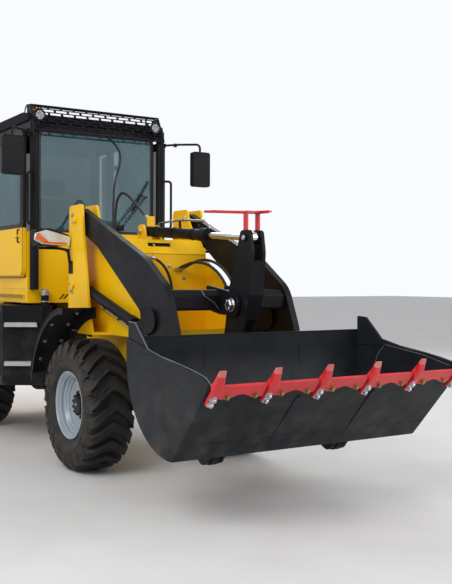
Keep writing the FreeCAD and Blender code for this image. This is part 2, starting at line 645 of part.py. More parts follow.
def bucket_region(inset, mouth):
    """Closed side-view outline of the bucket's inside, inset by a sheet thickness."""
    cx, cz = BACK_C
    r = BACK_R - inset
    bottom_a = math.radians(BOTTOM_TURN)
    bottom = (cx + r * math.cos(bottom_a), cz + r * math.sin(bottom_a))
    slope = math.atan2(FLOOR_END[1] - (cz - BACK_R), FLOOR_END[0] - cx)
    end = (FLOOR_END[0] - inset * math.sin(slope) + mouth * math.cos(slope),
           FLOOR_END[1] + inset * math.cos(slope) + mouth * math.sin(slope))
    if inset:
        bottom = (bottom[0] - inset * 0.45, bottom[1])
    left = (cx - r, cz)
    mid_a = math.radians(225)
    mid = (cx + r * math.cos(mid_a), cz + r * math.sin(mid_a))
    top = (cx - r, BACK_TOP + mouth)
    edges = [Part.LineSegment(V(*top, 0), V(*left, 0)).toShape(),
             Part.Arc(V(*left, 0), V(*mid, 0), V(*bottom, 0)).toShape(),
             Part.LineSegment(V(*bottom, 0), V(*end, 0)).toShape()]
    if mouth:
        corner = (end[0] - 200, top[1] + 400)
        edges += [Part.LineSegment(V(*end, 0), V(*corner, 0)).toShape(),
                  Part.LineSegment(V(*corner, 0), V(*top, 0)).toShape()]
    else:
        edges.append(Part.LineSegment(V(*end, 0), V(*top, 0)).toShape())
    return Part.Wire(edges)


def extrude_xz(wire, y0, y1):
    face = Part.Face(wire)
    face.rotate(V(0, 0, 0), V(1, 0, 0), 90)
    face.translate(V(0, y1, 0))
    return face.extrude(V(0, y0 - y1, 0))


def bucket_side_plate():
    """Left side plate: round back edge, bowed lip, with the raised corner at the rear."""
    region = extrude_xz(bucket_region(0, 0), BUCKET_W / 2 - 6 - BUCKET_SIDE, BUCKET_W / 2 - 6)
    lip = plate_xz([(BACK_C[0] - BACK_R, 1060), (1900, 700), (2440, 925), (2462, 955, 20), (2400, 993, 60),
                    (2128, 1040, 900), (1711, 1082, 900), (1384, 1074)],
                   BUCKET_W / 2 - 6 - BUCKET_SIDE, BUCKET_W / 2 - 6)
    corner = plate_xz([(1400, 1060), (1400, 1278, 8), (1497, 1273, 25), (1711, 1075), (1690, 1060)],
                      BUCKET_W / 2 - 30, BUCKET_W / 2 - 12)
    return [region, lip, corner]


def bucket_ear(y0, y1, centre, radius, spread):
    """Lug on the bucket's back: round at its pin, running into the curved back sheet."""
    cx, cz = BACK_C
    angle = math.atan2(centre[1] - cz, centre[0] - cx)
    inner = BACK_R - 4
    a, b = angle - spread, angle + spread
    pa = (cx + inner * math.cos(a), cz + inner * math.sin(a))
    pb = (cx + inner * math.cos(b), cz + inner * math.sin(b))
    side = (math.cos(angle), math.sin(angle))
    cross = (-side[1], side[0])
    out = [pa, (centre[0] - cross[0] * radius, centre[1] - cross[1] * radius),
           (centre[0] + cross[0] * radius, centre[1] + cross[1] * radius), pb]
    body = plate_xz([(p[0], p[1]) for p in out], y0, y1)
    return body.fuse(pin_y(centre, radius, y0, y1))


def loader_bucket():
    half = BUCKET_W / 2 - 6 - BUCKET_SIDE
    shell = extrude_xz(bucket_region(0, 0), -half - 1, half + 1)
    inside = extrude_xz(bucket_region(BUCKET_SHEET, 300), -half - 5, half + 5)
    parts = [shell.cut(inside)]
    for piece in bucket_side_plate():
        parts += pair(piece)
    for y in (ARM_MID, -ARM_MID):
        for y0, y1 in ((y - 68, y - 46), (y + 46, y + 68)):
            parts.append(bucket_ear(y0, y1, BUCKET_PIVOT, 68, 0.20))
        parts.append(pin_y(BUCKET_PIVOT, PIN_R, y - 74, y + 74))
    for y0, y1 in ((-60, -40), (40, 60)):
        parts.append(bucket_ear(y0, y1, LINK_EYE, 58, 0.22))
    for y0, y1 in ((-68, -44), (44, 68)):
        parts.append(pin_y(LINK_EYE, 24, y0, y1))
    return fuse(parts)


def cutting_edge():
    """Red bolt-on edge segments and six teeth, built flat and laid on the floor's front edge."""
    cx, cz = BACK_C
    slope = math.degrees(math.atan2(FLOOR_END[1] - (cz - BACK_R), FLOOR_END[0] - cx))
    half = BUCKET_W / 2
    teeth_y = [-(half - 45) + i * (2 * half - 90) / 5 for i in range(6)]
    parts = []
    for i in range(5):
        y0, y1 = teeth_y[i] + 34, teeth_y[i + 1] - 34
        mid = (y0 + y1) / 2
        segment = plate_xy([(-105, y0), (8, y0), (8, y1), (-105, y1), (-75, y1 - 60, 40), (-62, mid, 300),
                            (-75, y0 + 60, 40)], -22, 0)
        parts.append(segment)
    for y in teeth_y:
        tooth = plate_xz([(-150, -24, 8), (-20, -40, 20), (40, -34, 10), (118, 6), (112, 12), (30, 14), (10, 0),
                          (-150, 0)], y - 32, y + 32)
        parts.append(tooth)
    whole = fuse(parts)
    whole.rotate(V(0, 0, 0), V(0, 1, 0), -slope)
    whole.translate(V(FLOOR_END[0], 0, FLOOR_END[1]))
    return whole


# ---------------------------------------------------------------- rear frame
def rear_lug(z0, z1):
    """Rear frame's half of the articulation, between the front frame's plates."""
    ear = plate_xy([(ARTIC_X, -LUG_R + 4), (ARTIC_X, LUG_R - 4), (ARTIC_X - 190, RAIL_HALF - 20),
                    (ARTIC_X - 230, RAIL_HALF - 20), (ARTIC_X - 230, -RAIL_HALF + 20),
                    (ARTIC_X - 190, -RAIL_HALF + 20)], z0, z1)
    whole = ear.fuse(rod(LUG_R - 4, (ARTIC_X, 0, z0), (ARTIC_X, 0, z1)))
    return whole.cut(rod(ARTIC_PIN_R + RUN_GAP, (ARTIC_X, 0, z0 - 1), (ARTIC_X, 0, z1 + 1)))


def rear_chassis():
    """Two deep rails with the articulation lugs, cross plates, cab mounts and tank brackets."""
    rail = plate_xz([(ARTIC_X - 190, 640, 20), (ARTIC_X - 190, 1015), (-1900, 1015, 60), (-2050, RAIL_TOP, 60),
                     (CARRIER_X + CARRIER_D / 2, RAIL_TOP), (CARRIER_X + CARRIER_D / 2, 620),
                     (-WHEELBASE - 150, RAIL_LOW + 25), (-WHEELBASE + 400, RAIL_LOW + 25), (-2100, RAIL_LOW, 60),
                     (-1800, RAIL_LOW, 60)],
                    RAIL_HALF - RAIL_T, RAIL_HALF)
    front_wall = box(ARTIC_X - 214, ARTIC_X - 190, -RAIL_HALF, RAIL_HALF, 640, 1015)
    cross = [box(x, x + 20, -RAIL_HALF + 1, RAIL_HALF - 1, 640, 940) for x in (-WHEELBASE + 190, -WHEELBASE - 350)]
    mounts = []
    for x in (-1640.0, -2700.0):
        mounts += pair(box(x - 50, x + 50, RAIL_HALF - 12, RAIL_HALF + 85, 860, CAB_FLOOR - 25))
        mounts += pair(rod(38, (x, RAIL_HALF + 40, CAB_FLOOR - 26), (x, RAIL_HALF + 40, CAB_FLOOR)))
    pieces = pair(rail) + [front_wall] + cross + mounts + [rear_lug(z0, z1) for z0, z1 in REAR_LUGS]
    return fuse(pieces)


def engine_block():
    return box(-2440, -1660, -290, 290, 640, 1210)


def side_tank():
    """Left tank: its front outer corner is cut off where the front wheel swings in."""
    plan = [(-2120, 570), (-2120, TANK_OUT, 25), (-1425, TANK_OUT, 20), (-1222, 605, 20), (-1260, 500, 20),
            (-1530, 420, 20), (-1530, 570)]
    tank = plate_xy(plan, TANK_LOW, TANK_TOP)
    return tank.cut(box(-1560, -1500, 400, 569, TANK_LOW - 5, 1020))


def steps():
    """Two serrated step plates on each tank's slanted front corner."""
    run = V(-1222 + 1425, 605 - TANK_OUT, 0)
    length = run.Length
    angle = math.degrees(math.atan2(run.y, run.x))
    plates = []
    for z in (1150.0, 785.0):
        tread = box(25, length - 45, 0, 45, z - 12, z)
        riser = box(25, length - 45, 0, 4, z - 60, z - 12)
        step = fuse([tread, riser])
        step.rotate(V(0, 0, 0), V(0, 0, 1), angle)
        step.translate(V(-1425, TANK_OUT, 0))
        plates.append(step)
    return plates


def fuel_filler():
    foot = (-1278, 566, TANK_TOP - 1)
    neck = rod(38, foot, (foot[0], foot[1], TANK_TOP + 95))
    cap = rod(34, (foot[0], foot[1], TANK_TOP + 95), (foot[0], foot[1], TANK_TOP + 150))
    return fuse([neck, cap])


def rear_fender():
    radius, sheet = 640.0, 8.0
    x = -WHEELBASE
    outer = rod(radius, (x, 480, AXLE_Z), (x, 900, AXLE_Z))
    inner = rod(radius - sheet, (x, 479, AXLE_Z), (x, 901, AXLE_Z))
    keep = box(x - radius, x + 330, 470, 910, AXLE_Z + 250, AXLE_Z + radius + 5)
    arc = outer.cut(inner).common(keep)
    web = rod(radius, (x, 480, AXLE_Z), (x, 488, AXLE_Z)).cut(
        rod(radius - 110, (x, 479, AXLE_Z), (x, 489, AXLE_Z))).common(keep)
    stay = box(x - 140, x - 60, RAIL_HALF, 482, 900, 940)
    stay_up = box(x - 140, x - 60, 470, 482, 900, 1110)
    return fuse([arc, web, stay, stay_up])


def rear_hood():
    """Radiator housing behind the cab, open at the grille."""
    back = CARRIER_X + 140
    front = CAB_REAR - 20
    outer = plate_xz([(back, 965), (front, 965), (front, 1560, 40), (back + 120, 1560, 80), (back, 1440, 60)],
                     -430, 430)
    inner = plate_xz([(back + 6, 960), (front - 6, 960), (front - 6, 1552, 36), (back + 122, 1552, 76),
                      (back + 10, 1438, 56)], -424, 424)
    shell = outer.cut(inner)
    grille = box(back - 10, back + 50, -330, 330, 1040, 1380)
    bars = [box(back + 4, back + 12, -335, 335, z, z + 18) for z in range(1060, 1380, 46)]
    return fuse([shell.cut(grille)] + bars)


# ---------------------------------------------------------------- cab
def front_post():
    """Round post at the cab's front corner; it starts below the windscreen and meets the roof."""
    x, y = CAB_FRONT + POST_R + 4, CAB_HALF - POST_R - 8
    return rod(POST_R, (x, y, CAB_FLOOR + 125), (x, y, CAB_ROOF))


def hinge_point(z):
    """Point on the left door's hinge axis."""
    return (DOOR_REAR - HINGE_BACK, CAB_HALF + SKIN_GAP + DOOR_T + HINGE_OUT, z)


def door_hinges():
    """The cab's half of each hinge: knuckle, pin and the bracket on the post behind the door."""
    x, y = hinge_point(0)[:2]
    pieces = []
    for z in HINGE_Z:
        low, high = z + HINGE_LEN + 1, z + 2 * HINGE_LEN
        knuckle = rod(HINGE_R, hinge_point(low), hinge_point(high))
        pin = rod(HINGE_PIN_R, hinge_point(z), hinge_point(low + 1))
        bracket = box(x - HINGE_BRACKET, x, CAB_HALF - SIDE_POST_IN, y, low, high)
        pieces.append(fuse([knuckle, pin, bracket]))
    return pieces


def cab_frame():
    """Cab structure: floor, sills, corner posts with the door hinges, and the roof frame."""
    posts = pair(front_post())
    side_y = CAB_HALF - SIDE_POST_IN
    for x in (DOOR_REAR - DOOR_POST_BACK, CAB_REAR + 45):
        posts += pair(rod(POST_R, (x, side_y, CAB_FLOOR + 10), (x, side_y, CAB_ROOF - 20)))
    hinges = [piece for hinge in door_hinges() for piece in pair(hinge)]
    floor = box(CAB_REAR, CAB_FRONT - 34, -CAB_HALF + 28, CAB_HALF - 28, CAB_FLOOR, CAB_FLOOR + 30)
    sills = pair(box(CAB_REAR + 40, CAB_FRONT - 40, CAB_HALF - 95, CAB_HALF - 35, CAB_FLOOR + 10,
                     CAB_FLOOR + 90))
    rails = pair(box(CAB_REAR, CAB_FRONT + 60, CAB_HALF - 95, CAB_HALF - 20, CAB_ROOF - 70, CAB_ROOF))
    ends = [box(x, x + 50, -CAB_HALF + 60, CAB_HALF - 60, CAB_ROOF - 70, CAB_ROOF)
            for x in (CAB_FRONT - 75, CAB_REAR + 20)]
    return fuse(posts + [floor] + sills + rails + ends + hinges)


def cab_panels():
    """Yellow sheet: cowl below the windscreen, side skirts with louvres, rear quarters."""
    cowl = box(CAB_FRONT - 34, CAB_FRONT, -CAB_HALF, CAB_HALF, CAB_FLOOR, 2010)
    shelf = box(CAB_FRONT - 160, CAB_FRONT - 34, -CAB_HALF + 110, CAB_HALF - 110, 1985, 2010)
    skirt = box(DOOR_REAR - 250, DOOR_FRONT + 10, CAB_HALF - 28, CAB_HALF, CAB_FLOOR, DOOR_LOW - 6)
    louvres = [box(x, x + 22, CAB_HALF - 40, CAB_HALF + 10, 1375, 1412)
               for x in range(-2200, -1430, 48)]
    skirt = skirt.cut(Part.makeCompound(louvres))
    quarter = box(CAB_REAR, DOOR_REAR - 82, CAB_HALF - 28, CAB_HALF, DOOR_LOW - 6, 2010)
    quarter = quarter.fuse(box(CAB_REAR, DOOR_REAR - 6, CAB_HALF - 28, CAB_HALF, CAB_FLOOR, DOOR_LOW - 6))
    rear = box(CAB_REAR - 8, CAB_REAR, -CAB_HALF, CAB_HALF, CAB_FLOOR, 2010)
    return fuse([cowl, shelf, rear] + pair(skirt) + pair(quarter))


def cab_roof():
    return plate_xz([(CAB_REAR - 40, CAB_ROOF, 10), (CAB_FRONT + 20, CAB_ROOF, 10),
                     (CAB_FRONT + 10, CAB_ROOF + 60, 30), (CAB_FRONT - 120, CAB_ROOF + ROOF_T, 40),
                     (CAB_REAR + 80, CAB_ROOF + ROOF_T, 60), (CAB_REAR - 40, CAB_ROOF + 50, 30)],
                    -CAB_HALF, CAB_HALF)


def roof_visor():
    """Mesh sun visor on brackets ahead of the roof."""
    panel = plate_xz([(CAB_FRONT + 10, 3185), (CAB_FRONT + 190, 3040), (CAB_FRONT + 196, 3048),
                      (CAB_FRONT - 10, 3225), (CAB_FRONT - 130, 3232), (CAB_FRONT - 130, 3224),
                      (CAB_FRONT - 16, 3216)], -690, 690)
    stays = pair(box(CAB_FRONT - 110, CAB_FRONT - 70, 560, 600, CAB_ROOF + ROOF_T - 4, 3225))
    return fuse([panel] + stays)


def cab_glass():
    """Windscreen, rear window and rear quarter windows."""
    screen = box(CAB_FRONT - 20, CAB_FRONT - 20 + GLASS_T, -CAB_HALF + 108, CAB_HALF - 108, 2012, CAB_ROOF - 72)
    back = box(CAB_REAR, CAB_REAR + GLASS_T, -CAB_HALF + 104, CAB_HALF - 104, 2012, CAB_ROOF - 72)
    quarter = box(CAB_REAR + 95, DOOR_REAR - 86, CAB_HALF - 20, CAB_HALF - 20 + GLASS_T, 2012, CAB_ROOF - 92)
    return Part.makeCompound([screen, back] + pair(quarter))


def door(glass):
    """Left door: one frame with its window cut, hinged at its rear edge."""
    y0, y1 = CAB_HALF + SKIN_GAP, CAB_HALF + SKIN_GAP + DOOR_T
    outline = [(DOOR_REAR, DOOR_LOW, 20), (DOOR_FRONT, DOOR_LOW, 90), (DOOR_FRONT, DOOR_TOP, 60),
               (DOOR_REAR, DOOR_TOP, 20)]
    window = [(DOOR_REAR + 60, 2075, 40), (DOOR_FRONT - 60, 2075, 40), (DOOR_FRONT - 60, DOOR_TOP - 60, 40),
              (DOOR_REAR + 60, DOOR_TOP - 60, 40)]
    if glass:
        return plate_xz(window, (y0 + y1) / 2 - GLASS_T / 2, (y0 + y1) / 2 + GLASS_T / 2)
    handle = box(DOOR_FRONT - 200, DOOR_FRONT - 80, y1 - 1, y1 + 22, 1960, 1985)
    leaf = plate_xz(outline, y0, y1).cut(plate_xz(window, y0 - 1, y1 + 1))
    for z in HINGE_Z:
        leaf = leaf.cut(rod(HINGE_R + SIDE_GAP, hinge_point(z + HINGE_LEN - SIDE_GAP),
                            hinge_point(z + 2 * HINGE_LEN + SIDE_GAP)))
    knuckles = [ring(HINGE_R, HINGE_PIN_R + RUN_GAP, hinge_point(z), hinge_point(z + HINGE_LEN))
                for z in HINGE_Z]
    return fuse([leaf, handle] + knuckles)


def seat_cushions():
    """Squab, backrest and headrest of the swivelling seat."""
    squab = plate_xz([(SEAT_X - 200, 1830, 20), (SEAT_X + 290, 1830, 40), (SEAT_X + 295, 1930, 40),
                      (SEAT_X - 200, 1920)], -250, 250)
    back = plate_xz([(SEAT_X - 240, 1830), (SEAT_X - 200, 1830), (SEAT_X - 130, 1921, 20),
                     (SEAT_X - 175, 2440, 40), (SEAT_X - 265, 2440, 30)], -240, 240)
    neck = box(SEAT_X - 240, SEAT_X - 215, -60, 60, 2430, 2480)
    head = plate_xz([(SEAT_X - 262, 2470, 30), (SEAT_X - 180, 2470, 30), (SEAT_X - 190, 2650, 35),
                     (SEAT_X - 265, 2650, 35)], -140, 140)
    return fuse([squab, back, neck, head])


def seat_base():
    column = rod(110, (SEAT_X, 0, CAB_FLOOR + 30), (SEAT_X, 0, 1790))
    flange = rod(190, (SEAT_X, 0, CAB_FLOOR + 30), (SEAT_X, 0, CAB_FLOOR + 60))
    return fuse([column, flange])


def seat_pan():
    return rod(200, (SEAT_X, 0, 1795), (SEAT_X, 0, 1830))


def steering_column():
    base = (-1640, 0, CAB_FLOOR + 30)
    top = (-1700, 0, 2080)
    column = rod(45, base, top)
    direction = V(*top) - V(*base)
    direction.normalize()
    centre = V(*top) + direction * 20
    wheel = Part.makeTorus(190, 15, centre, direction)
    hub = Part.makeCylinder(50, 45, V(*top) - direction * 5, direction)
    spokes = []
    side = V(0, 1, 0)
    across = direction.cross(side)
    for angle in (90, 210, 330):
        a = math.radians(angle)
        way = side * math.cos(a) + across * math.sin(a)
        spokes.append(Part.makeCylinder(10, 188, centre, way))
    return fuse([column, wheel, hub] + spokes).cut(box(-1800, -1500, -100, 100, CAB_FLOOR - 60, CAB_FLOOR + 30))


def mirror_set():
    """Left door mirror on its arm."""
    arm = pipe([(CAB_FRONT + 40, CAB_HALF - 20, 2930), (CAB_FRONT + 200, 820, 2930), (-1010, 980, 2930),
                (-1010, 980, 2800)], 11, 40)
    head = plate_yz([(880, 2500, 25), (1080, 2500, 25), (1080, 2850, 25), (880, 2850, 25)], -1035, -975)
    foot = box(CAB_FRONT + 20, CAB_FRONT + 60, CAB_HALF - 40, CAB_HALF + 10, 2910, 2950)
    return fuse([arm, head, foot]).cut(front_post())


def grab_rails():
    rail = pipe([(CAB_FRONT + 70, CAB_HALF - 40, 2560), (CAB_FRONT + 115, CAB_HALF + 40, 2560),
                 (CAB_FRONT + 115, CAB_HALF + 40, 2080), (CAB_FRONT + 70, CAB_HALF - 40, 2080)], 12, 30)
    return rail.cut(front_post())


# ---------------------------------------------------------------- backhoe
def unit(angle):
    a = math.radians(angle)
    return (math.cos(a), math.sin(a))


def step_by(point, *moves):
    """Point plus a number of (direction, distance) moves in the side view."""
    x, z = point
    for (dx, dz), distance in moves:
        x += dx * distance
        z += dz * distance
    return (x, z)


def meet(a, ra, b, rb, side):
    """Point at distance ra from a and rb from b, on the left (+1) or right (-1) of a -> b."""
    dx, dz = b[0] - a[0], b[1] - a[1]
    d = math.hypot(dx, dz)
    along = (ra * ra - rb * rb + d * d) / (2 * d)
    off = math.sqrt(ra * ra - along * along) * side
    return (a[0] + (dx * along - dz * off) / d, a[1] + (dz * along + dx * off) / d)


def on_boom(along, out):
    """Side-view point at a distance along the folded boom and out towards the cab."""
    return step_by(HOE_FOOT, (unit(BOOM_ANGLE), along), (unit(BOOM_ANGLE - 90), out))


def on_dipper(along, out):
    """Side-view point at a distance along the folded dipper and out from the boom."""
    return step_by(TIP, (unit(BOOM_ANGLE + 180 - FOLD_ANGLE), along), (unit(BOOM_ANGLE + 90 - FOLD_ANGLE), out))


TIP = on_boom(BOOM_LENGTH, 0)
NOSE = on_dipper(DIPPER_LENGTH, 0)
BOOM_RAM_BASE = on_boom(217, 125)
BOOM_RAM_EYE = on_boom(1050, 190)
DIPPER_RAM_BASE = on_boom(1220, 240)
DIPPER_RAM_EYE = on_boom(BOOM_LENGTH + 282, 103)
BUCKET_RAM_BASE = on_dipper(300, 190)
LEVER_PIN = on_dipper(DIPPER_LENGTH - 270, 30)
HOE_LINK_PIN = step_by(NOSE, (unit(BUCKET_ANGLE + LINK_PIN_FROM_TEETH), LINK_PIN_REACH))
LEVER_TIP = meet(LEVER_PIN, LEVER_L, HOE_LINK_PIN, LINK_L, -1)


def backhoe_carrier():
    """Cross frame on the chassis with the leg guides and the swing post's two lugs."""
    x0, x1 = CARRIER_X - CARRIER_D / 2, CARRIER_X + CARRIER_D / 2
    low = box(x0, x1, -LEG_Y, LEG_Y, LOW_LUG[0], 560)
    high = box(x0, x1, -LEG_Y, LEG_Y, 1140, 1280)
    guides = []
    for y in (LEG_Y, -LEG_Y):
        h = LEG_OUT / 2
        guides.append(box(CARRIER_X - h, CARRIER_X + h, y - h, y + h, 360, 1480))
    middle = box(x0, x1, -RAIL_HALF, RAIL_HALF, LOW_LUG[0], 1280)
    lugs = []
    for z0, z1 in (LOW_LUG, HIGH_LUG):
        lugs.append(plate_xy([(x0 + 1, -120), (x0 + 1, 120), (SWING_X, 85), (SWING_X, -85)], z0, z1))
        lugs.append(rod(85, (SWING_X, 0, z0), (SWING_X, 0, z1)))
    rib = [(x0 + 1, HIGH_LUG[1] - 1), (x0 + 1, 1100), (x0 - 30, 1100), (SWING_X + 150, HIGH_LUG[1] - 1)]
    ribs = [plate_xz(rib, y, y + 16) for y in (-70, 54)]
    lashing = pair(lashing_lug(REAR_LASHING, x1, REAR_LASHING_Y))
    whole = fuse([low, high, middle] + guides + lugs + ribs + lashing)
    for y in (LEG_Y, -LEG_Y):
        h = LEG_IN / 2 + LEG_GAP
        whole = whole.cut(box(CARRIER_X - h, CARRIER_X + h, y - h, y + h, 300, 1460))
    pins = [rod(KING_PIN_R, (SWING_X, 0, LOW_LUG[0] - 10), (SWING_X, 0, LOW_LUG[1] + 60)),
            rod(KING_PIN_R, (SWING_X, 0, HIGH_LUG[0] - 60), (SWING_X, 0, HIGH_LUG[1] + 10))]
    return fuse([whole] + pins)


def stabiliser_leg(y):
    h = LEG_IN / 2
    leg = box(CARRIER_X - h, CARRIER_X + h, y - h, y + h, 345, 1400)
    foot = plate_xy([(CARRIER_X - 120, y - 130, 20), (CARRIER_X + 120, y - 130, 20),
                     (CARRIER_X + 120, y + 130, 20), (CARRIER_X - 120, y + 130, 20)], 318, 336)
    neck = box(CARRIER_X - 40, CARRIER_X + 40, y - 40, y + 40, 330, 350)
    return fuse([leg, foot, neck])


def swing_post():
    """Post between the carrier's lugs, with the cheeks that hold the boom's foot."""
    z0, z1 = LOW_LUG[1] + SIDE_GAP, HIGH_LUG[0] - SIDE_GAP
    inner = HOE_HALF + SIDE_GAP
    outer = inner + 24
    post = rod(80, (SWING_X, 0, z0), (SWING_X, 0, z1))
    cheek = plate_xz([(SWING_X + 50, z0 + 20, 20), (SWING_X + 50, z1 - 20, 20), (SWING_X - 180, z1 - 20),
                      (HOE_FOOT[0] + 20, HOE_FOOT[1] - 70, 60), (SWING_X - 150, z0 + 20, 60)], inner, outer)
    cheek = cheek.fuse(link_plate(HOE_FOOT, 80, BOOM_RAM_BASE, 56, inner, outer))
    floor = box(SWING_X - 270, SWING_X + 40, -inner - 1, inner + 1, z0 + 40, z0 + 90)
    wall = box(SWING_X - 95, SWING_X - 70, -inner - 1, inner + 1, z0 + 40, z1 - 25)
    pins = [pin_y(HOE_FOOT, HOE_PIN_R, -outer - 8, outer + 8),
            pin_y(BOOM_RAM_BASE, PIN_R, -outer - 8, outer + 8)]
    whole = fuse([post, floor, wall] + pair(cheek) + pins)
    for low, high in ((z0 - 1, LOW_LUG[1] + 61), (HIGH_LUG[0] - 61, z1 + 1)):
        whole = whole.cut(rod(KING_PIN_R + RUN_GAP, (SWING_X, 0, low), (SWING_X, 0, high)))
    return whole


def hoe_boom():
    """Box boom, deepest at its middle, with a fork at the tip for the dipper."""
    outline = [on_boom(-68, -50) + (50,), on_boom(-68, 62) + (50,), on_boom(217, 58) + (200,),
               on_boom(500, 78) + (300,), on_boom(1020, 118) + (300,), on_boom(1250, 160) + (150,),
               on_boom(1700, 115) + (300,), on_boom(2425, 70) + (60,), on_boom(2425, -72) + (70,),
               on_boom(2200, -72) + (100,), on_boom(1500, -50) + (600,), on_boom(900, -55) + (600,),
               on_boom(300, -75) + (200,)]
    body = plate_xz(outline, -HOE_HALF, HOE_HALF)
    inner = [on_boom(120, -45) + (20,), on_boom(130, 42) + (20,), on_boom(500, 62) + (290,),
             on_boom(1020, 102) + (300,), on_boom(1250, 142) + (150,), on_boom(1700, 100) + (300,),
             on_boom(2060, 76) + (20,), on_boom(2060, -58) + (20,), on_boom(1500, -36) + (500,),
             on_boom(900, -40) + (500,), on_boom(300, -60) + (100,)]
    body = body.cut(plate_xz(inner, -HOE_HALF + 14, HOE_HALF - 14))
    gap = RAM_EYE_HALF + SIDE_GAP
    ears = []
    for pin, root in ((BOOM_RAM_EYE, on_boom(1060, 60)), (DIPPER_RAM_BASE, on_boom(1250, 90))):
        ears += pair(link_plate(pin, 52, root, 80, gap, gap + 22))
    caps = pair(pin_y(BOOM_RAM_EYE, 24, gap + 4, gap + 34))
    body = fuse([body] + ears + caps + [pin_y(DIPPER_RAM_BASE, PIN_R, -gap - 30, gap + 30)])
    fork = pin_y(TIP, 268, -DIPPER_HALF - SIDE_GAP, DIPPER_HALF + SIDE_GAP)
    body = body.cut(fork).cut(pin_y(HOE_FOOT, HOE_PIN_R + RUN_GAP, -100, 100))
    return fuse([body, pin_y(TIP, HOE_PIN_R, -HOE_HALF - 6, HOE_HALF + 6)])


def dipper():
    half = DIPPER_HALF
    tail = DIPPER_RAM_EYE
    head = fuse([pin_y(TIP, 85, -half, half), link_plate(TIP, 85, tail, 52, -half, half)])
    body = plate_xz([on_dipper(-50, 50) + (40,), on_dipper(100, 105) + (60,), on_dipper(320, 118) + (100,),
                     on_dipper(1250, 82) + (100,), on_dipper(1548, 46) + (44,), on_dipper(1548, -46) + (44,),
                     on_dipper(1250, -66) + (100,), on_dipper(450, -85) + (200,), on_dipper(250, -62) + (200,),
                     on_dipper(0, -62) + (40,)], -half, half)
    inner = plate_xz([on_dipper(150, 85) + (20,), on_dipper(320, 104) + (80,), on_dipper(1180, 70) + (30,),
                      on_dipper(1180, -52) + (30,), on_dipper(450, -72) + (80,), on_dipper(150, -50) + (20,)],
                     -half + 12, half - 12)
    gap = 28 + SIDE_GAP
    ears = pair(link_plate(BUCKET_RAM_BASE, 52, on_dipper(330, 60), 80, gap, gap + 18))
    slot = pin_y(tail, 236, -RAM_EYE_HALF - SIDE_GAP, RAM_EYE_HALF + SIDE_GAP)
    whole = fuse([head, body.cut(inner)] + ears).cut(slot)
    collar = pin_y(NOSE, 46, -EAR_IN + SIDE_GAP, EAR_IN - SIDE_GAP)
    pins = [pin_y(BUCKET_RAM_BASE, PIN_R, -gap - 26, gap + 26),
            pin_y(LEVER_PIN, LEVER_PIN_R, -EAR_IN + 4, EAR_IN - 4)]
    whole = fuse([whole, collar]).cut(pin_y(TIP, HOE_PIN_R + RUN_GAP, -100, 100)).cut(
        pin_y(NOSE, BUCKET_PIN_R + RUN_GAP, -100, 100))
    return fuse([whole] + pins)


def hoe_bucket():
    """Digging bucket with side plates, pin ears and five teeth, drawn open side up then turned."""
    half = HOE_BUCKET_W / 2
    mouth_rear, lip = (72, -18), (668, -30)
    profile = rounded_wire([mouth_rear + (8,), (64, -330, 150), (240, -440, 170), (500, -270, 230), lip + (6,)])
    outer = extrude_xz(profile, -half, half)
    inner = extrude_xz(profile.makeOffset2D(-12), -half + 12, half - 12)
    mouth = box(mouth_rear[0] + 12, lip[0] - 42, -half + 12, half - 12, -60, 20)
    shell = outer.cut(inner.fuse(mouth))
    link = step_by((0, 0), (unit(LINK_PIN_FROM_TEETH), LINK_PIN_REACH))
    web = plate_xz([(-6, 58), (74, -40), (72, -300), (link[0] + 10, link[1] - 44), (link[0], link[1]), (0, 0)],
                   EAR_IN, EAR_IN + EAR_T)
    ear = fuse([web, link_plate((0, 0), 60, link, 46, EAR_IN, EAR_IN + EAR_T),
                pin_y(link, 26, EAR_IN + 1, EAR_IN + EAR_T + 10)])
    tooth = [(600, -120), (668, -40), (740, 50), (735, 56), (650, -26), (585, -110)]
    teeth = []
    for i in range(5):
        y = -half + 30 + i * (2 * half - 60) / 4
        teeth.append(plate_xz(tooth, y - 26, y + 26))
    whole = fuse([shell] + pair(ear) + teeth)
    pin = pin_y((0, 0), BUCKET_PIN_R, -EAR_IN - EAR_T - 8, EAR_IN + EAR_T + 8)
    return turned(fuse([whole, pin]), NOSE, BUCKET_ANGLE)


def turned(shape, point, angle):
    """Drawn about (0, 0) with its reach along +X; laid at a point with its reach at an angle."""
    shape.rotate(V(0, 0, 0), V(0, 1, 0), -angle)
    shape.translate(V(point[0], 0, point[1]))
    return shape


def tipping_levers():
    """Pair of levers outside the dipper; the stubs at their tips carry the link and the rod."""
    y0 = DIPPER_HALF + SIDE_GAP
    lever = link_plate(LEVER_PIN, 42, LEVER_TIP, 40, y0, y0 + 18)
    lever = lever.cut(pin_y(LEVER_PIN, LEVER_PIN_R + RUN_GAP, y0 - 1, y0 + 20))
    stub = pin_y(LEVER_TIP, PIN_R, 28 + SIDE_GAP, y0 + 22)
    return Part.makeCompound(pair(fuse([lever, stub])))


def bucket_link():
    """Link from the levers' tips to the bucket, its two plates joined by a tube at the bucket."""
    y0, y1 = 28 + SIDE_GAP + 2, DIPPER_HALF
    plate = link_plate(LEVER_TIP, 42, HOE_LINK_PIN, 36, y0, y1)
    tube = pin_y(HOE_LINK_PIN, 36, -EAR_IN + SIDE_GAP, EAR_IN - SIDE_GAP)
    return fuse(pair(plate) + [tube]).cut(pin_y(LEVER_TIP, PIN_R + RUN_GAP, -90, 90))


def hoe_ram(name, base, eye, length, drawn_in, barrel_r, rod_r, half):
    """Cylinder of the backhoe; drawn_in is how far its rod still moves into the barrel."""
    barrel = cylinder_barrel(base, eye, 0, barrel_r, length, EYE_R, half, PIN_R)
    OUT[name + "_barrel"] = bore_for_rod(barrel, base, eye, 0, rod_r, length)
    OUT[name + "_rod"] = cylinder_rod(base, eye, 0, rod_r, BORE_START + drawn_in + 15, EYE_R, half)


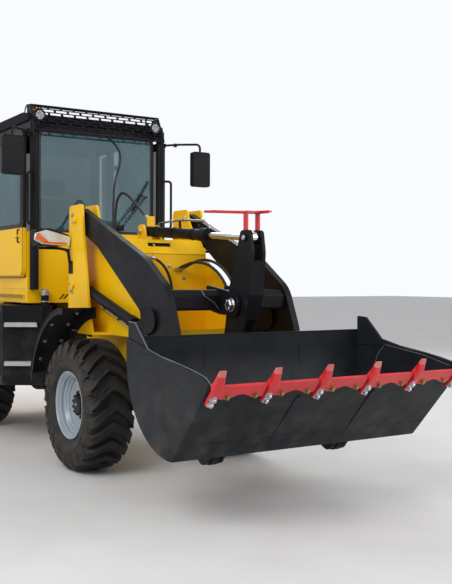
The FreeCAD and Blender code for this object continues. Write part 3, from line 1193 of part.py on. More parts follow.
# ---------------------------------------------------------------- whole machine
def build():
    build_wheels()
    OUT["front_frame"] = front_frame()
    OUT["loader_towers"] = Part.makeCompound(pair(tower()))
    OUT["hose_arch"] = hose(ARCH_HOSE)
    OUT["hoses_down"] = Part.makeCompound([hose(route) for route in DOWN_HOSES])
    OUT["hoses_over"] = Part.makeCompound([hose(route) for route in OVER_HOSES])
    report_hoses()
    OUT["front_fenders"] = Part.makeCompound(pair(front_fenders()))
    OUT["headlamps"] = Part.makeCompound(pair(fuse([headlamp(), lamp_bracket()])))
    OUT["loader_boom"] = loader_boom()
    lift_cylinders()
    tilt_cylinder()
    OUT["rocker"] = rocker()
    OUT["level_rod"] = level_rod()
    OUT["tilt_link"] = tilt_link()
    OUT["loader_bucket"] = loader_bucket()
    OUT["cutting_edge"] = cutting_edge().cut(OUT["loader_bucket"])
    OUT["rear_chassis"] = rear_chassis()
    OUT["engine_block"] = engine_block()
    OUT["side_tanks"] = Part.makeCompound([fuse([side_tank()] + steps()),
                                           mirrored(fuse([side_tank(), fuel_filler()] + steps()))])
    OUT["rear_fenders"] = Part.makeCompound(pair(rear_fender()))
    OUT["rear_hood"] = rear_hood()
    OUT["cab_frame"] = cab_frame()
    OUT["cab_panels"] = cab_panels().cut(OUT["cab_frame"])
    OUT["cab_roof"] = cab_roof().cut(OUT["cab_frame"])
    OUT["roof_visor"] = roof_visor().cut(OUT["cab_roof"])
    OUT["cab_glass"] = cab_glass()
    OUT["door_left"] = door(False)
    OUT["door_right"] = mirrored(door(False))
    OUT["door_glass_left"] = door(True)
    OUT["door_glass_right"] = mirrored(door(True))
    OUT["seat_cushions"] = seat_cushions()
    OUT["seat_pan"] = seat_pan()
    OUT["cab_fittings"] = Part.makeCompound([seat_base(), steering_column()])
    OUT["mirrors"] = Part.makeCompound(pair(mirror_set()) + pair(grab_rails()))
    OUT["backhoe_carrier"] = backhoe_carrier()
    OUT["stabiliser_leg_left"] = stabiliser_leg(LEG_Y)
    OUT["stabiliser_leg_right"] = stabiliser_leg(-LEG_Y)
    OUT["swing_post"] = swing_post()
    OUT["hoe_boom"] = hoe_boom()
    OUT["dipper"] = dipper()
    OUT["hoe_bucket"] = hoe_bucket()
    OUT["tipping_levers"] = tipping_levers()
    OUT["bucket_link"] = bucket_link()
    hoe_ram("boom_ram", BOOM_RAM_BASE, BOOM_RAM_EYE, 765, 0, 50, 28, RAM_EYE_HALF)
    hoe_ram("dipper_ram", DIPPER_RAM_BASE, DIPPER_RAM_EYE, 860, 500, 46, 26, RAM_EYE_HALF)
    hoe_ram("bucket_ram", BUCKET_RAM_BASE, LEVER_TIP, 800, 380, 42, 24, 28)


def shift():
    """Moves the middle of the whole machine over the origin."""
    whole = FreeCAD.BoundBox()
    for shape in OUT.values():
        whole.add(shape.optimalBoundingBox(False, False))
    return V(-(whole.XMin + whole.XMax) / 2, -(whole.YMin + whole.YMax) / 2, 0)


build()
SHIFT = shift()
os.makedirs("parts", exist_ok=True)
for name, shape in OUT.items():
    moved = shape.copy()
    moved.translate(SHIFT)
    moved.exportStep("parts/%s.step" % name)
print("pieces", len(OUT), "shift", tuple(round(v, 3) for v in SHIFT))
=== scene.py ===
"""Looks of an articulated backhoe loader, built around its fixed frame.

Shapes are written in the machine's own millimetres, with the front axle at X = 0, the
ground at Z = 0 and +Y to the machine's left, and are moved into the frame when a mesh
is made.
"""
import bpy
import math
import numpy as np
from mathutils import Matrix, Vector


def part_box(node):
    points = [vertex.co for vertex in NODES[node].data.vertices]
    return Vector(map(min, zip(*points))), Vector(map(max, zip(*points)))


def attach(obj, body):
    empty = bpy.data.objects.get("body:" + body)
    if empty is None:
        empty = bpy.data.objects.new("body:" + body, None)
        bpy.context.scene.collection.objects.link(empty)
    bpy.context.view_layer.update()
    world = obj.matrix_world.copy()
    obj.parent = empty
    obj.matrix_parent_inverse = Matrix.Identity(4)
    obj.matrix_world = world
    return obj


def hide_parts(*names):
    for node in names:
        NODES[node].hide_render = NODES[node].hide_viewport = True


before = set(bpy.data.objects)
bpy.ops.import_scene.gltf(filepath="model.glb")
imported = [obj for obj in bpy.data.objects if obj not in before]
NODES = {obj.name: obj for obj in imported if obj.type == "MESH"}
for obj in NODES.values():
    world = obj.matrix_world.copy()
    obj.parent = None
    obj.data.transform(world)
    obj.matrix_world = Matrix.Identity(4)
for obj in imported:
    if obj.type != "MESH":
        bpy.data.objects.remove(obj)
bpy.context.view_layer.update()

MM = 0.001


def middle(node):
    low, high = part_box(node)
    return (low + high) / 2


AXLE = middle("tyre_front_left")         # centre of the front left tyre, in the frame
ORIGIN = np.array([AXLE.x, 0.0, 0.0])    # front axle's middle, on the ground
AXLE_Z = AXLE.z / MM
TRACK_Y = AXLE.y / MM
REAR_X = (middle("tyre_rear_left").x - AXLE.x) / MM
X, Y, Z = (1, 0, 0), (0, 1, 0), (0, 0, 1)
XZ, XY, YZ = (X, Z, Y), (X, Y, Z), (Y, Z, X)       # drawing planes: across, up, out of the drawing
FULL = 2 * math.pi
SIDES = (("left", 1), ("right", -1))


def placed(points):
    """Machine millimetres to frame metres."""
    return np.asarray(points, float) * MM + ORIGIN


# ------------------------------------------------------------------ camera
CAMERA_AT = (6840, -3706, 1559)
YAW, PITCH, ROLL = (math.radians(a) for a in (32.524, 0.766, 0.21))
FOCAL_MM, SENSOR_MM = 55.466, 36.0
FAR_M = 200.0


def add_camera():
    """Camera that looks along -X cos(yaw) + Y sin(yaw), dipped by the pitch and turned by the roll."""
    view = Vector((-math.cos(YAW) * math.cos(PITCH), math.sin(YAW) * math.cos(PITCH), -math.sin(PITCH)))
    right = view.cross(Vector(Z)).normalized()
    up = right.cross(view)
    across = right * math.cos(ROLL) + up * math.sin(ROLL)
    above = up * math.cos(ROLL) - right * math.sin(ROLL)
    data = bpy.data.cameras.new("camera")
    data.lens = FOCAL_MM
    data.sensor_width = SENSOR_MM
    data.clip_end = FAR_M
    camera = bpy.data.objects.new("camera", data)
    turn = Matrix((across, above, -view)).transposed()
    camera.matrix_world = Matrix.Translation(Vector(placed(CAMERA_AT))) @ turn.to_4x4()
    bpy.context.scene.collection.objects.link(camera)
    bpy.context.scene.camera = camera


# ------------------------------------------------------------------ finishes
class Nodes:
    """Short way to write a node tree, of a material unless a world is given."""

    def __init__(self, name, world=None):
        self.material = world or bpy.data.materials.new(name)
        self.material.use_nodes = True
        self.tree = self.material.node_tree
        self.tree.nodes.clear()
        out = self.add("ShaderNodeOutputWorld" if world else "ShaderNodeOutputMaterial")
        self.out = out.inputs["Surface"]
        self.where = None if world else self.add("ShaderNodeTexCoord").outputs["Object"]

    def add(self, kind, **settings):
        node = self.tree.nodes.new(kind)
        for key, value in settings.items():
            setattr(node, key, value)
        return node

    def feed(self, socket, value):
        """Links an output to the socket, or sets a number, vector or colour on it."""
        if isinstance(value, bpy.types.NodeSocket):
            self.tree.links.new(value, socket)
        elif socket.type == "RGBA" and len(value) == 3:
            socket.default_value = (*value, 1.0)
        else:
            socket.default_value = value

    def fed(self, kind, inputs, **settings):
        """Node with its inputs fed from a table of names or places."""
        node = self.add(kind, **settings)
        for key, value in inputs.items():
            self.feed(node.inputs[key], value)
        return node

    def noise(self, scale, detail=3.0, stretch=None):
        """Cloud pattern on the object's coordinates, stretched along an axis if asked."""
        where = self.where
        if stretch:
            where = self.fed("ShaderNodeMapping", {"Vector": where, "Scale": stretch}).outputs["Vector"]
        return self.fed("ShaderNodeTexNoise",
                        {"Vector": where, "Scale": scale, "Detail": detail}).outputs["Fac"]

    def wave(self, direction, scale):
        """Even bands across one axis."""
        return self.fed("ShaderNodeTexWave", {"Vector": self.where, "Scale": scale},
                        bands_direction=direction).outputs["Fac"]

    def remap(self, value, low, high, to_low=0.0, to_high=1.0):
        return self.fed("ShaderNodeMapRange",
                        {"Value": value, "From Min": low, "From Max": high, "To Min": to_low,
                         "To Max": to_high}).outputs["Result"]

    def math(self, kind, a, b=0.0):
        return self.fed("ShaderNodeMath", {0: a, 1: b}, operation=kind).outputs[0]

    def mix(self, share, a, b):
        return self.fed("ShaderNodeMix", {0: share, 6: a, 7: b}, data_type="RGBA").outputs[2]

    def along(self, axis):
        """Metres along one axis of the frame."""
        return self.fed("ShaderNodeSeparateXYZ", {0: self.where}).outputs[axis]

    def bump(self, value, strength, distance):
        return self.fed("ShaderNodeBump",
                        {"Height": value, "Strength": strength, "Distance": distance}).outputs["Normal"]

    def shader(self, colour, rough, normal=None, **constants):
        """Surface from a colour and a roughness; constants are set on the shader's own sockets."""
        inputs = {"Base Color": colour, "Roughness": rough}
        if normal is not None:
            inputs["Normal"] = normal
        inputs.update((key.replace("_", " "), value) for key, value in constants.items())
        self.feed(self.out, self.fed("ShaderNodeBsdfPrincipled", inputs).outputs[0])


DUST = (0.20, 0.16, 0.12)
DOOR_SILL = 2.046                   # height of the doors' waist line, metres
SILL_BLUR = 0.001


def coated(name, colour, shade, rough, dust=0.25, dust_top=1.3, grain=180.0, grain_depth=0.0004, above=None,
           **constants):
    """Painted or moulded finish: colour clouds, uneven gloss, fine grain, dust that thins with height, and
    another colour above the doors' waist line if asked."""
    n = Nodes(name)
    tint = n.mix(n.remap(n.noise(2.3, 4.0), 0.35, 0.65), colour, shade)
    low = n.remap(n.along("Z"), 0.25, dust_top, 1.0, 0.0)
    patches = n.remap(n.noise(7.0, 6.0), 0.42, 0.75)
    amount = n.math("MULTIPLY", n.math("MULTIPLY", low, patches), dust)
    tint = n.mix(amount, tint, DUST)
    if above:
        tint = n.mix(n.remap(n.along("Z"), DOOR_SILL - SILL_BLUR, DOOR_SILL + SILL_BLUR), tint, above)
    gloss = n.math("ADD", n.remap(n.noise(11.0, 5.0), 0.3, 0.7, rough - 0.05, rough + 0.07),
                   n.math("MULTIPLY", amount, 0.6))
    n.shader(tint, gloss, n.bump(n.noise(grain, 2.0), 0.25, grain_depth), **constants)
    return n.material


def metal(name, colour, rough):
    """Bare metal with fine turned or drawn lines."""
    n = Nodes(name)
    lines = n.noise(60.0, 3.0, (1.0, 1.0, 30.0))
    gloss = n.remap(lines, 0.3, 0.7, rough * 0.8, rough * 1.3)
    tint = n.mix(n.remap(n.noise(9.0, 4.0), 0.4, 0.7), colour, tuple(c * 0.82 for c in colour))
    n.shader(tint, gloss, n.bump(lines, 0.1, 0.0003), Metallic=1.0)
    return n.material


def tyre_rubber():
    """Black rubber, with patches and specks of brown dust that thicken from the tread to the walls."""
    n = Nodes("tyre_rubber")
    off_track = n.math("SUBTRACT", n.math("ABSOLUTE", n.along("Y")), TRACK_Y * MM)
    dust = n.remap(n.math("ABSOLUTE", off_track), 0.150, 0.192, 0.10, 0.42)
    patches = n.remap(n.noise(9.0, 8.0), 0.38, 0.72)
    specks = n.remap(n.noise(70.0, 3.0), 0.45, 0.7)
    dirt = n.math("MULTIPLY", n.math("ADD", patches, n.math("MULTIPLY", specks, 0.35)), dust)
    tint = n.mix(dirt, (0.008, 0.008, 0.008), (0.125, 0.098, 0.072))
    n.shader(tint, n.remap(patches, 0.0, 1.0, 0.55, 0.8), n.bump(n.noise(140.0, 4.0), 0.35, 0.0008),
             Specular_IOR_Level=0.35)
    return n.material


def tinted_glass():
    """Green-blue safety glass that lets part of the view through."""
    n = Nodes("tinted_glass")
    streaks = n.remap(n.noise(1.6, 3.0, (1.0, 1.0, 0.35)), 0.35, 0.7)
    tint = n.mix(streaks, (0.010, 0.075, 0.100), (0.050, 0.200, 0.245))
    n.shader(tint, 0.04, Alpha=0.66, IOR=1.5)
    return n.material


def clear_lens():
    """Lamp glass with moulded ribs over a bright reflector."""
    n = Nodes("lamp_lens")
    tint = n.mix(n.remap(n.noise(14.0, 3.0), 0.3, 0.7), (0.62, 0.66, 0.70), (0.86, 0.88, 0.90))
    n.shader(tint, 0.08, n.bump(n.wave("Y", 28.0), 0.4, 0.002), Metallic=0.5)
    return n.material


def coloured_lens(name, colour):
    """Moulded coloured lamp cover under a clear coat."""
    n = Nodes(name)
    tint = n.mix(n.remap(n.noise(30.0, 2.0), 0.35, 0.65), colour, tuple(c * 0.7 for c in colour))
    n.shader(tint, 0.12, n.bump(n.noise(120.0, 1.0), 0.2, 0.0006), Coat_Weight=0.6)
    return n.material


def seat_cloth():
    """Woven seat cover: two crossed fine waves and a soft mottled colour."""
    n = Nodes("seat_cloth")
    weave = n.math("MULTIPLY", n.wave("Y", 160.0), n.wave("Z", 160.0))
    tint = n.mix(weave, (0.030, 0.034, 0.040), (0.075, 0.080, 0.088))
    tint = n.mix(n.remap(n.noise(12.0, 4.0), 0.4, 0.7, 0.0, 0.4), tint, (0.05, 0.05, 0.055))
    n.shader(tint, 0.85, n.bump(weave, 0.5, 0.0006), Sheen_Weight=0.3)
    return n.material


BRIGHT = {"Specular_IOR_Level": 0.22}
DARK = {"Specular_IOR_Level": 0.11}       # dull blacks throw back less of the sky
SUNNY, SUNNY_SHADE = (0.96, 0.56, 0.003), (0.92, 0.52, 0.003)
YELLOW = coated("yellow_paint", SUNNY, SUNNY_SHADE, 0.36, 0.07, **BRIGHT)
DOOR = coated("door_paint", SUNNY, SUNNY_SHADE, 0.36, 0.0, above=(0.010, 0.010, 0.012), **BRIGHT)
BLACK = coated("black_paint", (0.007, 0.007, 0.009), (0.012, 0.012, 0.015), 0.38, 0.3, **DARK)
BUCKET = coated("bucket_paint", (0.013, 0.015, 0.018), (0.021, 0.024, 0.029), 0.42, 0.35, 1.1, **DARK)
RED = coated("red_paint", (0.70, 0.012, 0.018), (0.58, 0.010, 0.014), 0.34, 0.1, Coat_Weight=0.2)
SILVER = coated("silver_paint", (0.40, 0.455, 0.51), (0.33, 0.385, 0.44), 0.32, 0.2, Metallic=0.3)
ROOF = coated("roof_shell", (0.009, 0.009, 0.011), (0.014, 0.014, 0.017), 0.72, 0.2, **DARK)
PLASTIC = coated("black_plastic", (0.011, 0.011, 0.012), (0.017, 0.017, 0.018), 0.5, grain=320.0,
                 grain_depth=0.0008, **DARK)
CAST = coated("dark_casting", (0.022, 0.022, 0.024), (0.035, 0.034, 0.034), 0.6, 0.7, grain=90.0,
              grain_depth=0.0012)
RUBBER = coated("hose_rubber", (0.012, 0.012, 0.012), (0.020, 0.020, 0.020), 0.55, 0.2, grain=420.0,
                grain_depth=0.0006)
WORN = coated("worn_tip", (0.62, 0.26, 0.23), (0.60, 0.08, 0.07), 0.45, 0.0)
# painted highlight: light grey for plate edges and seams where they catch the light
EDGE_HIGHLIGHT = coated("painted_edge_highlight", (0.20, 0.21, 0.22), (0.10, 0.105, 0.11), 0.4, 0.1)
BRONZE = metal("yellow_zinc", (0.36, 0.24, 0.10), 0.4)
CHROME = metal("chrome", (0.78, 0.79, 0.80), 0.12)
ZINC = metal("zinc_plated", (0.56, 0.57, 0.58), 0.30)
TREAD_STEEL = metal("step_steel", (0.50, 0.51, 0.52), 0.38)
TYRE = tyre_rubber()
GLASS = tinted_glass()
LENS = clear_lens()
ORANGE = coloured_lens("orange_lens", (0.90, 0.16, 0.01))
AMBER = coloured_lens("amber_lens", (0.85, 0.22, 0.01))
SEAT_CLOTH = seat_cloth()
MIRROR = metal("mirror_glass", (0.10, 0.12, 0.14), 0.05)


def dress(material, *nodes):
    """Gives CAD nodes a finish in place of their own."""
    for node in nodes:
        data = NODES[node].data
        data.materials.clear()
        data.materials.append(material)


dress(DOOR, "door_left", "door_right")
dress(YELLOW, "front_frame", "loader_towers", "cab_panels", "rear_hood", "backhoe_carrier", "swing_post",
      "hoe_boom", "dipper", "stabiliser_leg_left", "stabiliser_leg_right")
dress(BLACK, "loader_boom", "rocker", "tilt_link", "lift_barrels", "tilt_barrel", "rear_chassis",
      "front_fenders", "rear_fenders", "side_tanks", "cab_frame", "boom_ram_barrel", "dipper_ram_barrel",
      "bucket_ram_barrel", "tipping_levers", "bucket_link", "hoe_bucket", "seat_pan")
dress(ROOF, "cab_roof")
dress(BUCKET, "loader_bucket")
dress(RED, "level_rod")
dress(CHROME, "lift_rods", "tilt_rod", "boom_ram_rod", "dipper_ram_rod", "bucket_ram_rod")
dress(CAST, "front_axle", "rear_axle", "engine_block")
dress(PLASTIC, "cab_fittings", "mirrors", "headlamps")
dress(GLASS, "cab_glass", "door_glass_left", "door_glass_right")


# ------------------------------------------------------------------ shapes
def grid(points, wrap_u=False, wrap_v=False):
    """Quads between neighbouring points of a two-way array; wrapping joins the last to the first."""
    nu, nv = points.shape[:2]
    i = np.arange(nu if wrap_u else nu - 1)[:, None]
    j = np.arange(nv if wrap_v else nv - 1)[None, :]
    i2, j2 = (i + 1) % nu, (j + 1) % nv
    faces = np.stack(np.broadcast_arrays(i * nv + j, i2 * nv + j, i2 * nv + j2, i * nv + j2), -1)
    return points.reshape(-1, 3), [faces.reshape(-1, 4)]


def volume(shape):
    """Signed volume: a sixth of the sum of v0 . (v1 x v2) over a fan of each face."""
    points, faces = shape
    total = 0.0
    for f in faces:
        for k in range(1, f.shape[1] - 1):
            a, b, c = points[f[:, 0]], points[f[:, k]], points[f[:, k + 1]]
            total += float(np.einsum("ij,ij->i", a, np.cross(b, c)).sum())
    return total / 6


def outward(shape):
    """The shape with its faces turned to point out of its volume."""
    points, faces = shape
    if volume(shape) < 0:
        faces = [f[:, ::-1] for f in faces]
    return points, faces


def rings(points):
    """Closed solid through a row of closed rings, with a flat face on each end."""
    count, around = points.shape[:2]
    verts, faces = grid(points, wrap_v=True)
    first = np.arange(around)[::-1][None, :]
    last = (np.arange(around) + (count - 1) * around)[None, :]
    return outward((verts, faces + [first, last]))


def merged(*shapes):
    """Several shapes as one."""
    points, faces, start = [], [], 0
    for p, fs in shapes:
        points.append(p)
        faces += [f + start for f in fs]
        start += len(p)
    return np.concatenate(points), faces


def moved(shape, offset=(0, 0, 0), turn=None):
    points, faces = shape
    if turn is not None:
        points = points @ np.asarray(turn).T
    return points + np.asarray(offset, float), faces


def mirrored(shape):
    """Mirror image on the machine's other side, faces turned back outwards."""
    points, faces = shape
    return points * np.array([1.0, -1.0, 1.0]), [f[:, ::-1] for f in faces]


def both(*shapes):
    """The shapes and their mirror images."""
    shape = merged(*shapes)
    return merged(shape, mirrored(shape))


def on_side(shape, side):
    """The shape on the left, or its mirror image on the right."""
    return shape if side > 0 else mirrored(shape)


def circle(count, radius):
    """Points round the Z axis: r (cos a, sin a, 0)."""
    a = np.arange(count) * FULL / count
    return radius * np.stack([np.cos(a), np.sin(a), 0 * a], -1)


def spins(angles, axis):
    """Turns by each angle about axis 0, 1 or 2."""
    i, j = (axis + 1) % 3, (axis + 2) % 3
    turns = np.zeros((len(angles), 3, 3))
    turns[:, axis, axis] = 1
    turns[:, i, i] = turns[:, j, j] = np.cos(angles)
    turns[:, j, i], turns[:, i, j] = np.sin(angles), -np.sin(angles)
    return turns


def copies(shape, offsets, turns=None):
    """One shape at many places: points + offset, after a turn for each place."""
    points, faces = shape
    offsets = np.asarray(offsets, float).reshape(-1, 1, 3)
    if turns is None:
        spread = points[None] + offsets
    else:
        spread = np.einsum("kij,nj->kni", np.asarray(turns), points) + offsets
    steps = (np.arange(len(offsets)) * len(points))[:, None, None]
    return spread.reshape(-1, 3), [(f[None] + steps).reshape(-1, f.shape[1]) for f in faces]


def aim(direction):
    """Turn that takes +Z to a direction."""
    z = np.asarray(direction, float)
    z = z / np.linalg.norm(z)
    x = np.cross(X if abs(z[2]) > 0.95 else Z, z)
    x /= np.linalg.norm(x)
    return np.stack([x, np.cross(z, x), z], axis=1)


def turned(profile, centre=(0, 0, 0), axis=Y, around=48, closed=False):
    """Surface of revolution: point = centre + d axis + r (cos a e1 + sin a e2) for each (d, r)."""
    profile = np.asarray(profile, float)
    frame3 = aim(axis)
    a = np.linspace(0, FULL, around, endpoint=False)
    ring = np.cos(a)[:, None] * frame3[:, 0] + np.sin(a)[:, None] * frame3[:, 1]
    middles = np.asarray(centre, float) + profile[:, None, :1] * frame3[:, 2]
    points = middles + profile[:, None, 1:] * ring[None]
    return outward(grid(points, True, True)) if closed else rings(points)


def collar(half, tall, flat, low, centre=(0, 0, 0), axis=Y, around=16, closed=False):
    """Turned ring about its centre: radius tall to the flat's ends, falling to low at its own ends."""
    return turned([(-half, low), (-flat, tall), (flat, tall), (half, low)], centre, axis, around, closed)


def rounded(outline, steps=5):
    """Outline of (x, y) or (x, y, radius) corners, each radius an arc of a few points."""
    count = len(outline)
    out = []
    for i, corner in enumerate(outline):
        here = np.array(corner[:2], float)
        radius = corner[2] if len(corner) > 2 else 0.0
        if radius <= 0:
            out.append(here[None])
            continue
        back = np.array(outline[i - 1][:2], float) - here
        on = np.array(outline[(i + 1) % count][:2], float) - here
        back /= np.linalg.norm(back)
        on /= np.linalg.norm(on)
        half = math.acos(np.clip(back @ on, -1, 1)) / 2
        bisector = (back + on) / np.linalg.norm(back + on)
        centre = here + bisector * radius / math.sin(half)
        start, end = here + back * radius / math.tan(half), here + on * radius / math.tan(half)
        a0 = math.atan2(*(start - centre)[::-1])
        sweep = (math.atan2(*(end - centre)[::-1]) - a0 + math.pi) % (2 * math.pi) - math.pi
        a = a0 + sweep * np.linspace(0, 1, steps)
        out.append(centre + radius * np.stack([np.cos(a), np.sin(a)], -1))
    return np.concatenate(out)


def inset(outline, distance):
    """Outline moved inwards: each corner along its mitre, distance / cos(half the turn)."""
    run = np.roll(outline, -1, 0) - outline
    run /= np.maximum(np.linalg.norm(run, axis=1, keepdims=True), 1e-9)
    area = (outline[:, 0] * np.roll(outline[:, 1], -1) - np.roll(outline[:, 0], -1) * outline[:, 1]).sum()
    normal = np.stack([-run[:, 1], run[:, 0]], -1) * (1 if area > 0 else -1)
    before = np.roll(normal, 1, 0)
    mitre = (normal + before) / np.maximum(1 + (normal * before).sum(1, keepdims=True), 0.3)
    return outline + mitre * distance


def laid(loops, plane):
    """Outlines (x, y) laid in a drawing plane, each at its own level out of it."""
    u, v, w = (np.array(a, float) for a in plane)
    return np.stack([loop[:, :1] * u + loop[:, 1:] * v + level * w for loop, level in loops])


def plate(outline, low, high, plane=XZ, edge=2.0, steps=5):
    """Plate between two levels with broken edges: the outline, inset by the edge at both faces."""
    flat = rounded(outline, steps)
    small = inset(flat, edge)
    return rings(laid(((small, low), (flat, low + edge), (flat, high - edge), (small, high)), plane))


def rectangle(u0, u1, v0, v1, radius=0):
    return [(u0, v0, radius), (u1, v0, radius), (u1, v1, radius), (u0, v1, radius)]


def block(x0, x1, y0, y1, z0, z1, edge=2.0):
    """Box with broken edges."""
    return plate(rectangle(x0, x1, z0, z1, edge * 1.5), y0, y1, XZ, edge, 3)


def bent(points, radius, steps=8):
    """Centre line of a bent steel pipe: straight runs joined by arcs of one radius."""
    points = np.asarray(points, float)
    out = [points[:1]]
    for before, here, after in zip(points, points[1:], points[2:]):
        back, on = before - here, after - here
        reach_most = min(np.linalg.norm(back), np.linalg.norm(on)) * 0.48
        back, on = back / np.linalg.norm(back), on / np.linalg.norm(on)
        half = math.acos(np.clip(back @ on, -1, 1)) / 2
        r = min(radius, reach_most * math.tan(half))
        bisector = (back + on) / np.linalg.norm(back + on)
        centre = here + bisector * r / math.sin(half)
        start, end = here + back * r / math.tan(half) - centre, here + on * r / math.tan(half) - centre
        sweep = math.pi - 2 * half
        t = np.linspace(0, 1, steps)[:, None]
        out.append(centre + (start * np.sin((1 - t) * sweep) + end * np.sin(t * sweep)) / math.sin(sweep))
    out.append(points[-1:])
    return np.concatenate(out)


def tube(path, radius, around=12, side=Z):
    """Round tube: each path point plus r (cos a n1 + sin a n2), n1 square to the path and to side."""
    path = np.asarray(path, float)
    along = np.gradient(path, axis=0)
    along /= np.linalg.norm(along, axis=1, keepdims=True)
    n1 = np.cross(along, np.asarray(side, float))
    n1 /= np.linalg.norm(n1, axis=1, keepdims=True)
    n2 = np.cross(along, n1)
    a = np.linspace(0, FULL, around, endpoint=False)[None, :, None]
    return rings(path[:, None] + radius * (np.cos(a) * n1[:, None] + np.sin(a) * n2[:, None]))


def side_line(places, y):
    """Side-view places (x, z) at one level across the machine."""
    return [(x, y, z) for x, z in places]


def hexagon(size, height):
    """Hexagon head, size across its flats, standing on Z = 0, its top corners cut back."""
    ring = circle(6, size / math.sqrt(3))
    up = np.array(Z, float)
    return rings(np.stack([ring, ring + up * height * 0.8, ring * 0.88 + up * height]))


def bolt(size):
    """Bolt head on its washer, along +Z."""
    washer = [(-1.0, size * 0.92), (size * 0.10, size * 0.92), (size * 0.14, size * 0.86)]
    return merged(turned(washer, axis=Z, around=20), moved(hexagon(size, size * 0.62), (0, 0, size * 0.13)))


def repeated(shape, places, direction):
    """One shape at many places, all pointing one way."""
    places = np.asarray(places, float)
    return copies(shape, places, np.repeat(aim(direction)[None], len(places), 0))


def bolts(size, places, direction):
    return repeated(bolt(size), places, direction)


def pin_end(radius, places, direction, keeper=0.0):
    """Turned pin end with a chamfer and a greasing hole's boss, and its keeper bar if asked."""
    parts = [turned([(-2, radius), (radius * 0.42, radius), (radius * 0.55, radius * 0.88),
                     (radius * 0.55, radius * 0.3), (radius * 0.45, radius * 0.26)], axis=Z, around=28)]
    if keeper:
        half = keeper * 0.18
        parts += [plate([(-half, radius * 0.2, 4), (half, radius * 0.2, 4), (half, keeper, 6),
                         (-half, keeper, 6)], 0, 9, XY, 1.5, 3), moved(bolt(16), (0, keeper * 0.82, 9))]
    return repeated(merged(*parts), places, direction)


# ------------------------------------------------------------------ making a piece
def make(name, body, slot, *parts, replaces=(), crease=35.0, ahead=0.0):
    """Mesh object riding on a body, from parts of a finish and its shapes, moved ahead if asked."""
    finishes, points, totals, loops, index = [], [], [], [], []
    start = 0
    for finish, *shapes in parts:
        if finish not in finishes:
            finishes.append(finish)
        for p, faces in shapes:
            points.append(p)
            for f in faces:
                loops.append((f + start).reshape(-1))
                totals.append(np.full(len(f), f.shape[1]))
                index.append(np.full(len(f), finishes.index(finish)))
            start += len(p)
    points = placed(np.concatenate(points) + (ahead, 0, 0))
    loops, totals, index = (np.concatenate(rows).astype(np.int32) for rows in (loops, totals, index))
    mesh = bpy.data.meshes.new(name)
    mesh.vertices.add(len(points))
    mesh.vertices.foreach_set("co", points.reshape(-1).astype(np.float32))
    mesh.loops.add(len(loops))
    mesh.loops.foreach_set("vertex_index", loops)
    mesh.polygons.add(len(totals))
    mesh.polygons.foreach_set("loop_start", np.concatenate([[0], np.cumsum(totals)[:-1]]).astype(np.int32))
    mesh.polygons.foreach_set("loop_total", totals)
    mesh.polygons.foreach_set("material_index", index)
    mesh.polygons.foreach_set("use_smooth", np.ones(len(totals), bool))
    mesh.update(calc_edges=True)
    mesh.validate()
    mesh.set_sharp_from_angle(angle=math.radians(crease))
    for finish in finishes:
        mesh.materials.append(finish)
    return ridden(bpy.data.objects.new(name, mesh), body, replaces)


def ridden(piece, body, replaces=()):
    """Puts a piece in the scene, on its body, for the CAD nodes that it replaces."""
    bpy.context.scene.collection.objects.link(piece)
    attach(piece, body)
    if replaces:
        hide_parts(*replaces)
    return piece


# ------------------------------------------------------------------ hoses
HOSE_D = 24.0
HOSES = (       # name, route, length in metres, CAD node
    ("hose_over_neck",
     [(-1120, 40, 1085), (-1112, 40, 1300), (-1085, 38, 1560), (-1040, 34, 1820), (-1000, 30, 2030),
      (-988, 30, 2190), (-955, 30, 2325), (-850, 30, 2385), (-715, 30, 2340), (-570, 30, 2258),
      (-440, 30, 2172), (-332, 30, 2110)], 1.95, "hose_arch"),
    ("hose_down_1",
     [(62, -225, 1718), (64, -150, 1690), (66, -88, 1638), (66, -40, 1568), (64, -10, 1486), (60, 6, 1392),
      (54, 11, 1310), (46, 14, 1245)], 0.575, "hoses_down"),
    ("hose_down_2",
     [(62, -140, 1752), (64, -68, 1726), (66, -8, 1670), (66, 34, 1598), (64, 60, 1508), (58, 72, 1404),
      (50, 74, 1317), (44, 76, 1245)], 0.598, "hoses_down"),
    ("hose_over_1",
     [(25, 139, 1655), (120, 146, 1680), (250, 168, 1712), (390, 212, 1700), (505, 262, 1620),
      (572, 302, 1500), (598, 325, 1370), (604, 335, 1245), (605, 336, 1140)], 1.031, "hoses_over"),
    ("hose_over_2",
     [(25, 190, 1655), (125, 198, 1690), (265, 220, 1732), (410, 262, 1722), (530, 314, 1638),
      (600, 354, 1512), (626, 378, 1378), (634, 388, 1248), (635, 390, 1140)], 1.079, "hoses_over"))


def hose(name, route, length, node):
    """Hydraulic hose: a smooth curve through its route, thickened to the hose's diameter."""
    curve = bpy.data.curves.new(name, "CURVE")
    curve.dimensions = "3D"
    curve.bevel_depth = HOSE_D / 2 * MM
    curve.bevel_resolution = 4
    curve.resolution_u = 10
    curve.use_fill_caps = True
    spline = curve.splines.new("NURBS")
    spline.points.add(len(route) - 1)
    points = placed(route)
    spline.points.foreach_set("co", np.c_[points, np.ones(len(points))].reshape(-1))
    spline.order_u = 3
    spline.use_endpoint_u = True
    curve.materials.append(RUBBER)
    piece = ridden(bpy.data.objects.new(name, curve), "front_frame", [node])


def add_hoses():
    """The five hoses, with a crimped sleeve and a hexagon nut at both ends of each."""
    places, turns = [], []
    for name, route, length, node in HOSES:
        hose(name, route, length, node)
        for end, inner in (route[:2], route[:-3:-1]):
            places.append(end)
            turns.append(aim(np.subtract(inner, end)))
    sleeve = turned([(-6, 17), (-2, 18.5), (34, 18.5), (38, 16), (44, 15.5), (48, 13)], axis=Z, around=20)
    nut = moved(hexagon(38, 22), (0, 0, -26))
    make("hose_fittings", "front_frame", "chrome_rod",
         (ZINC, copies(sleeve, places, turns), copies(nut, places, turns)))


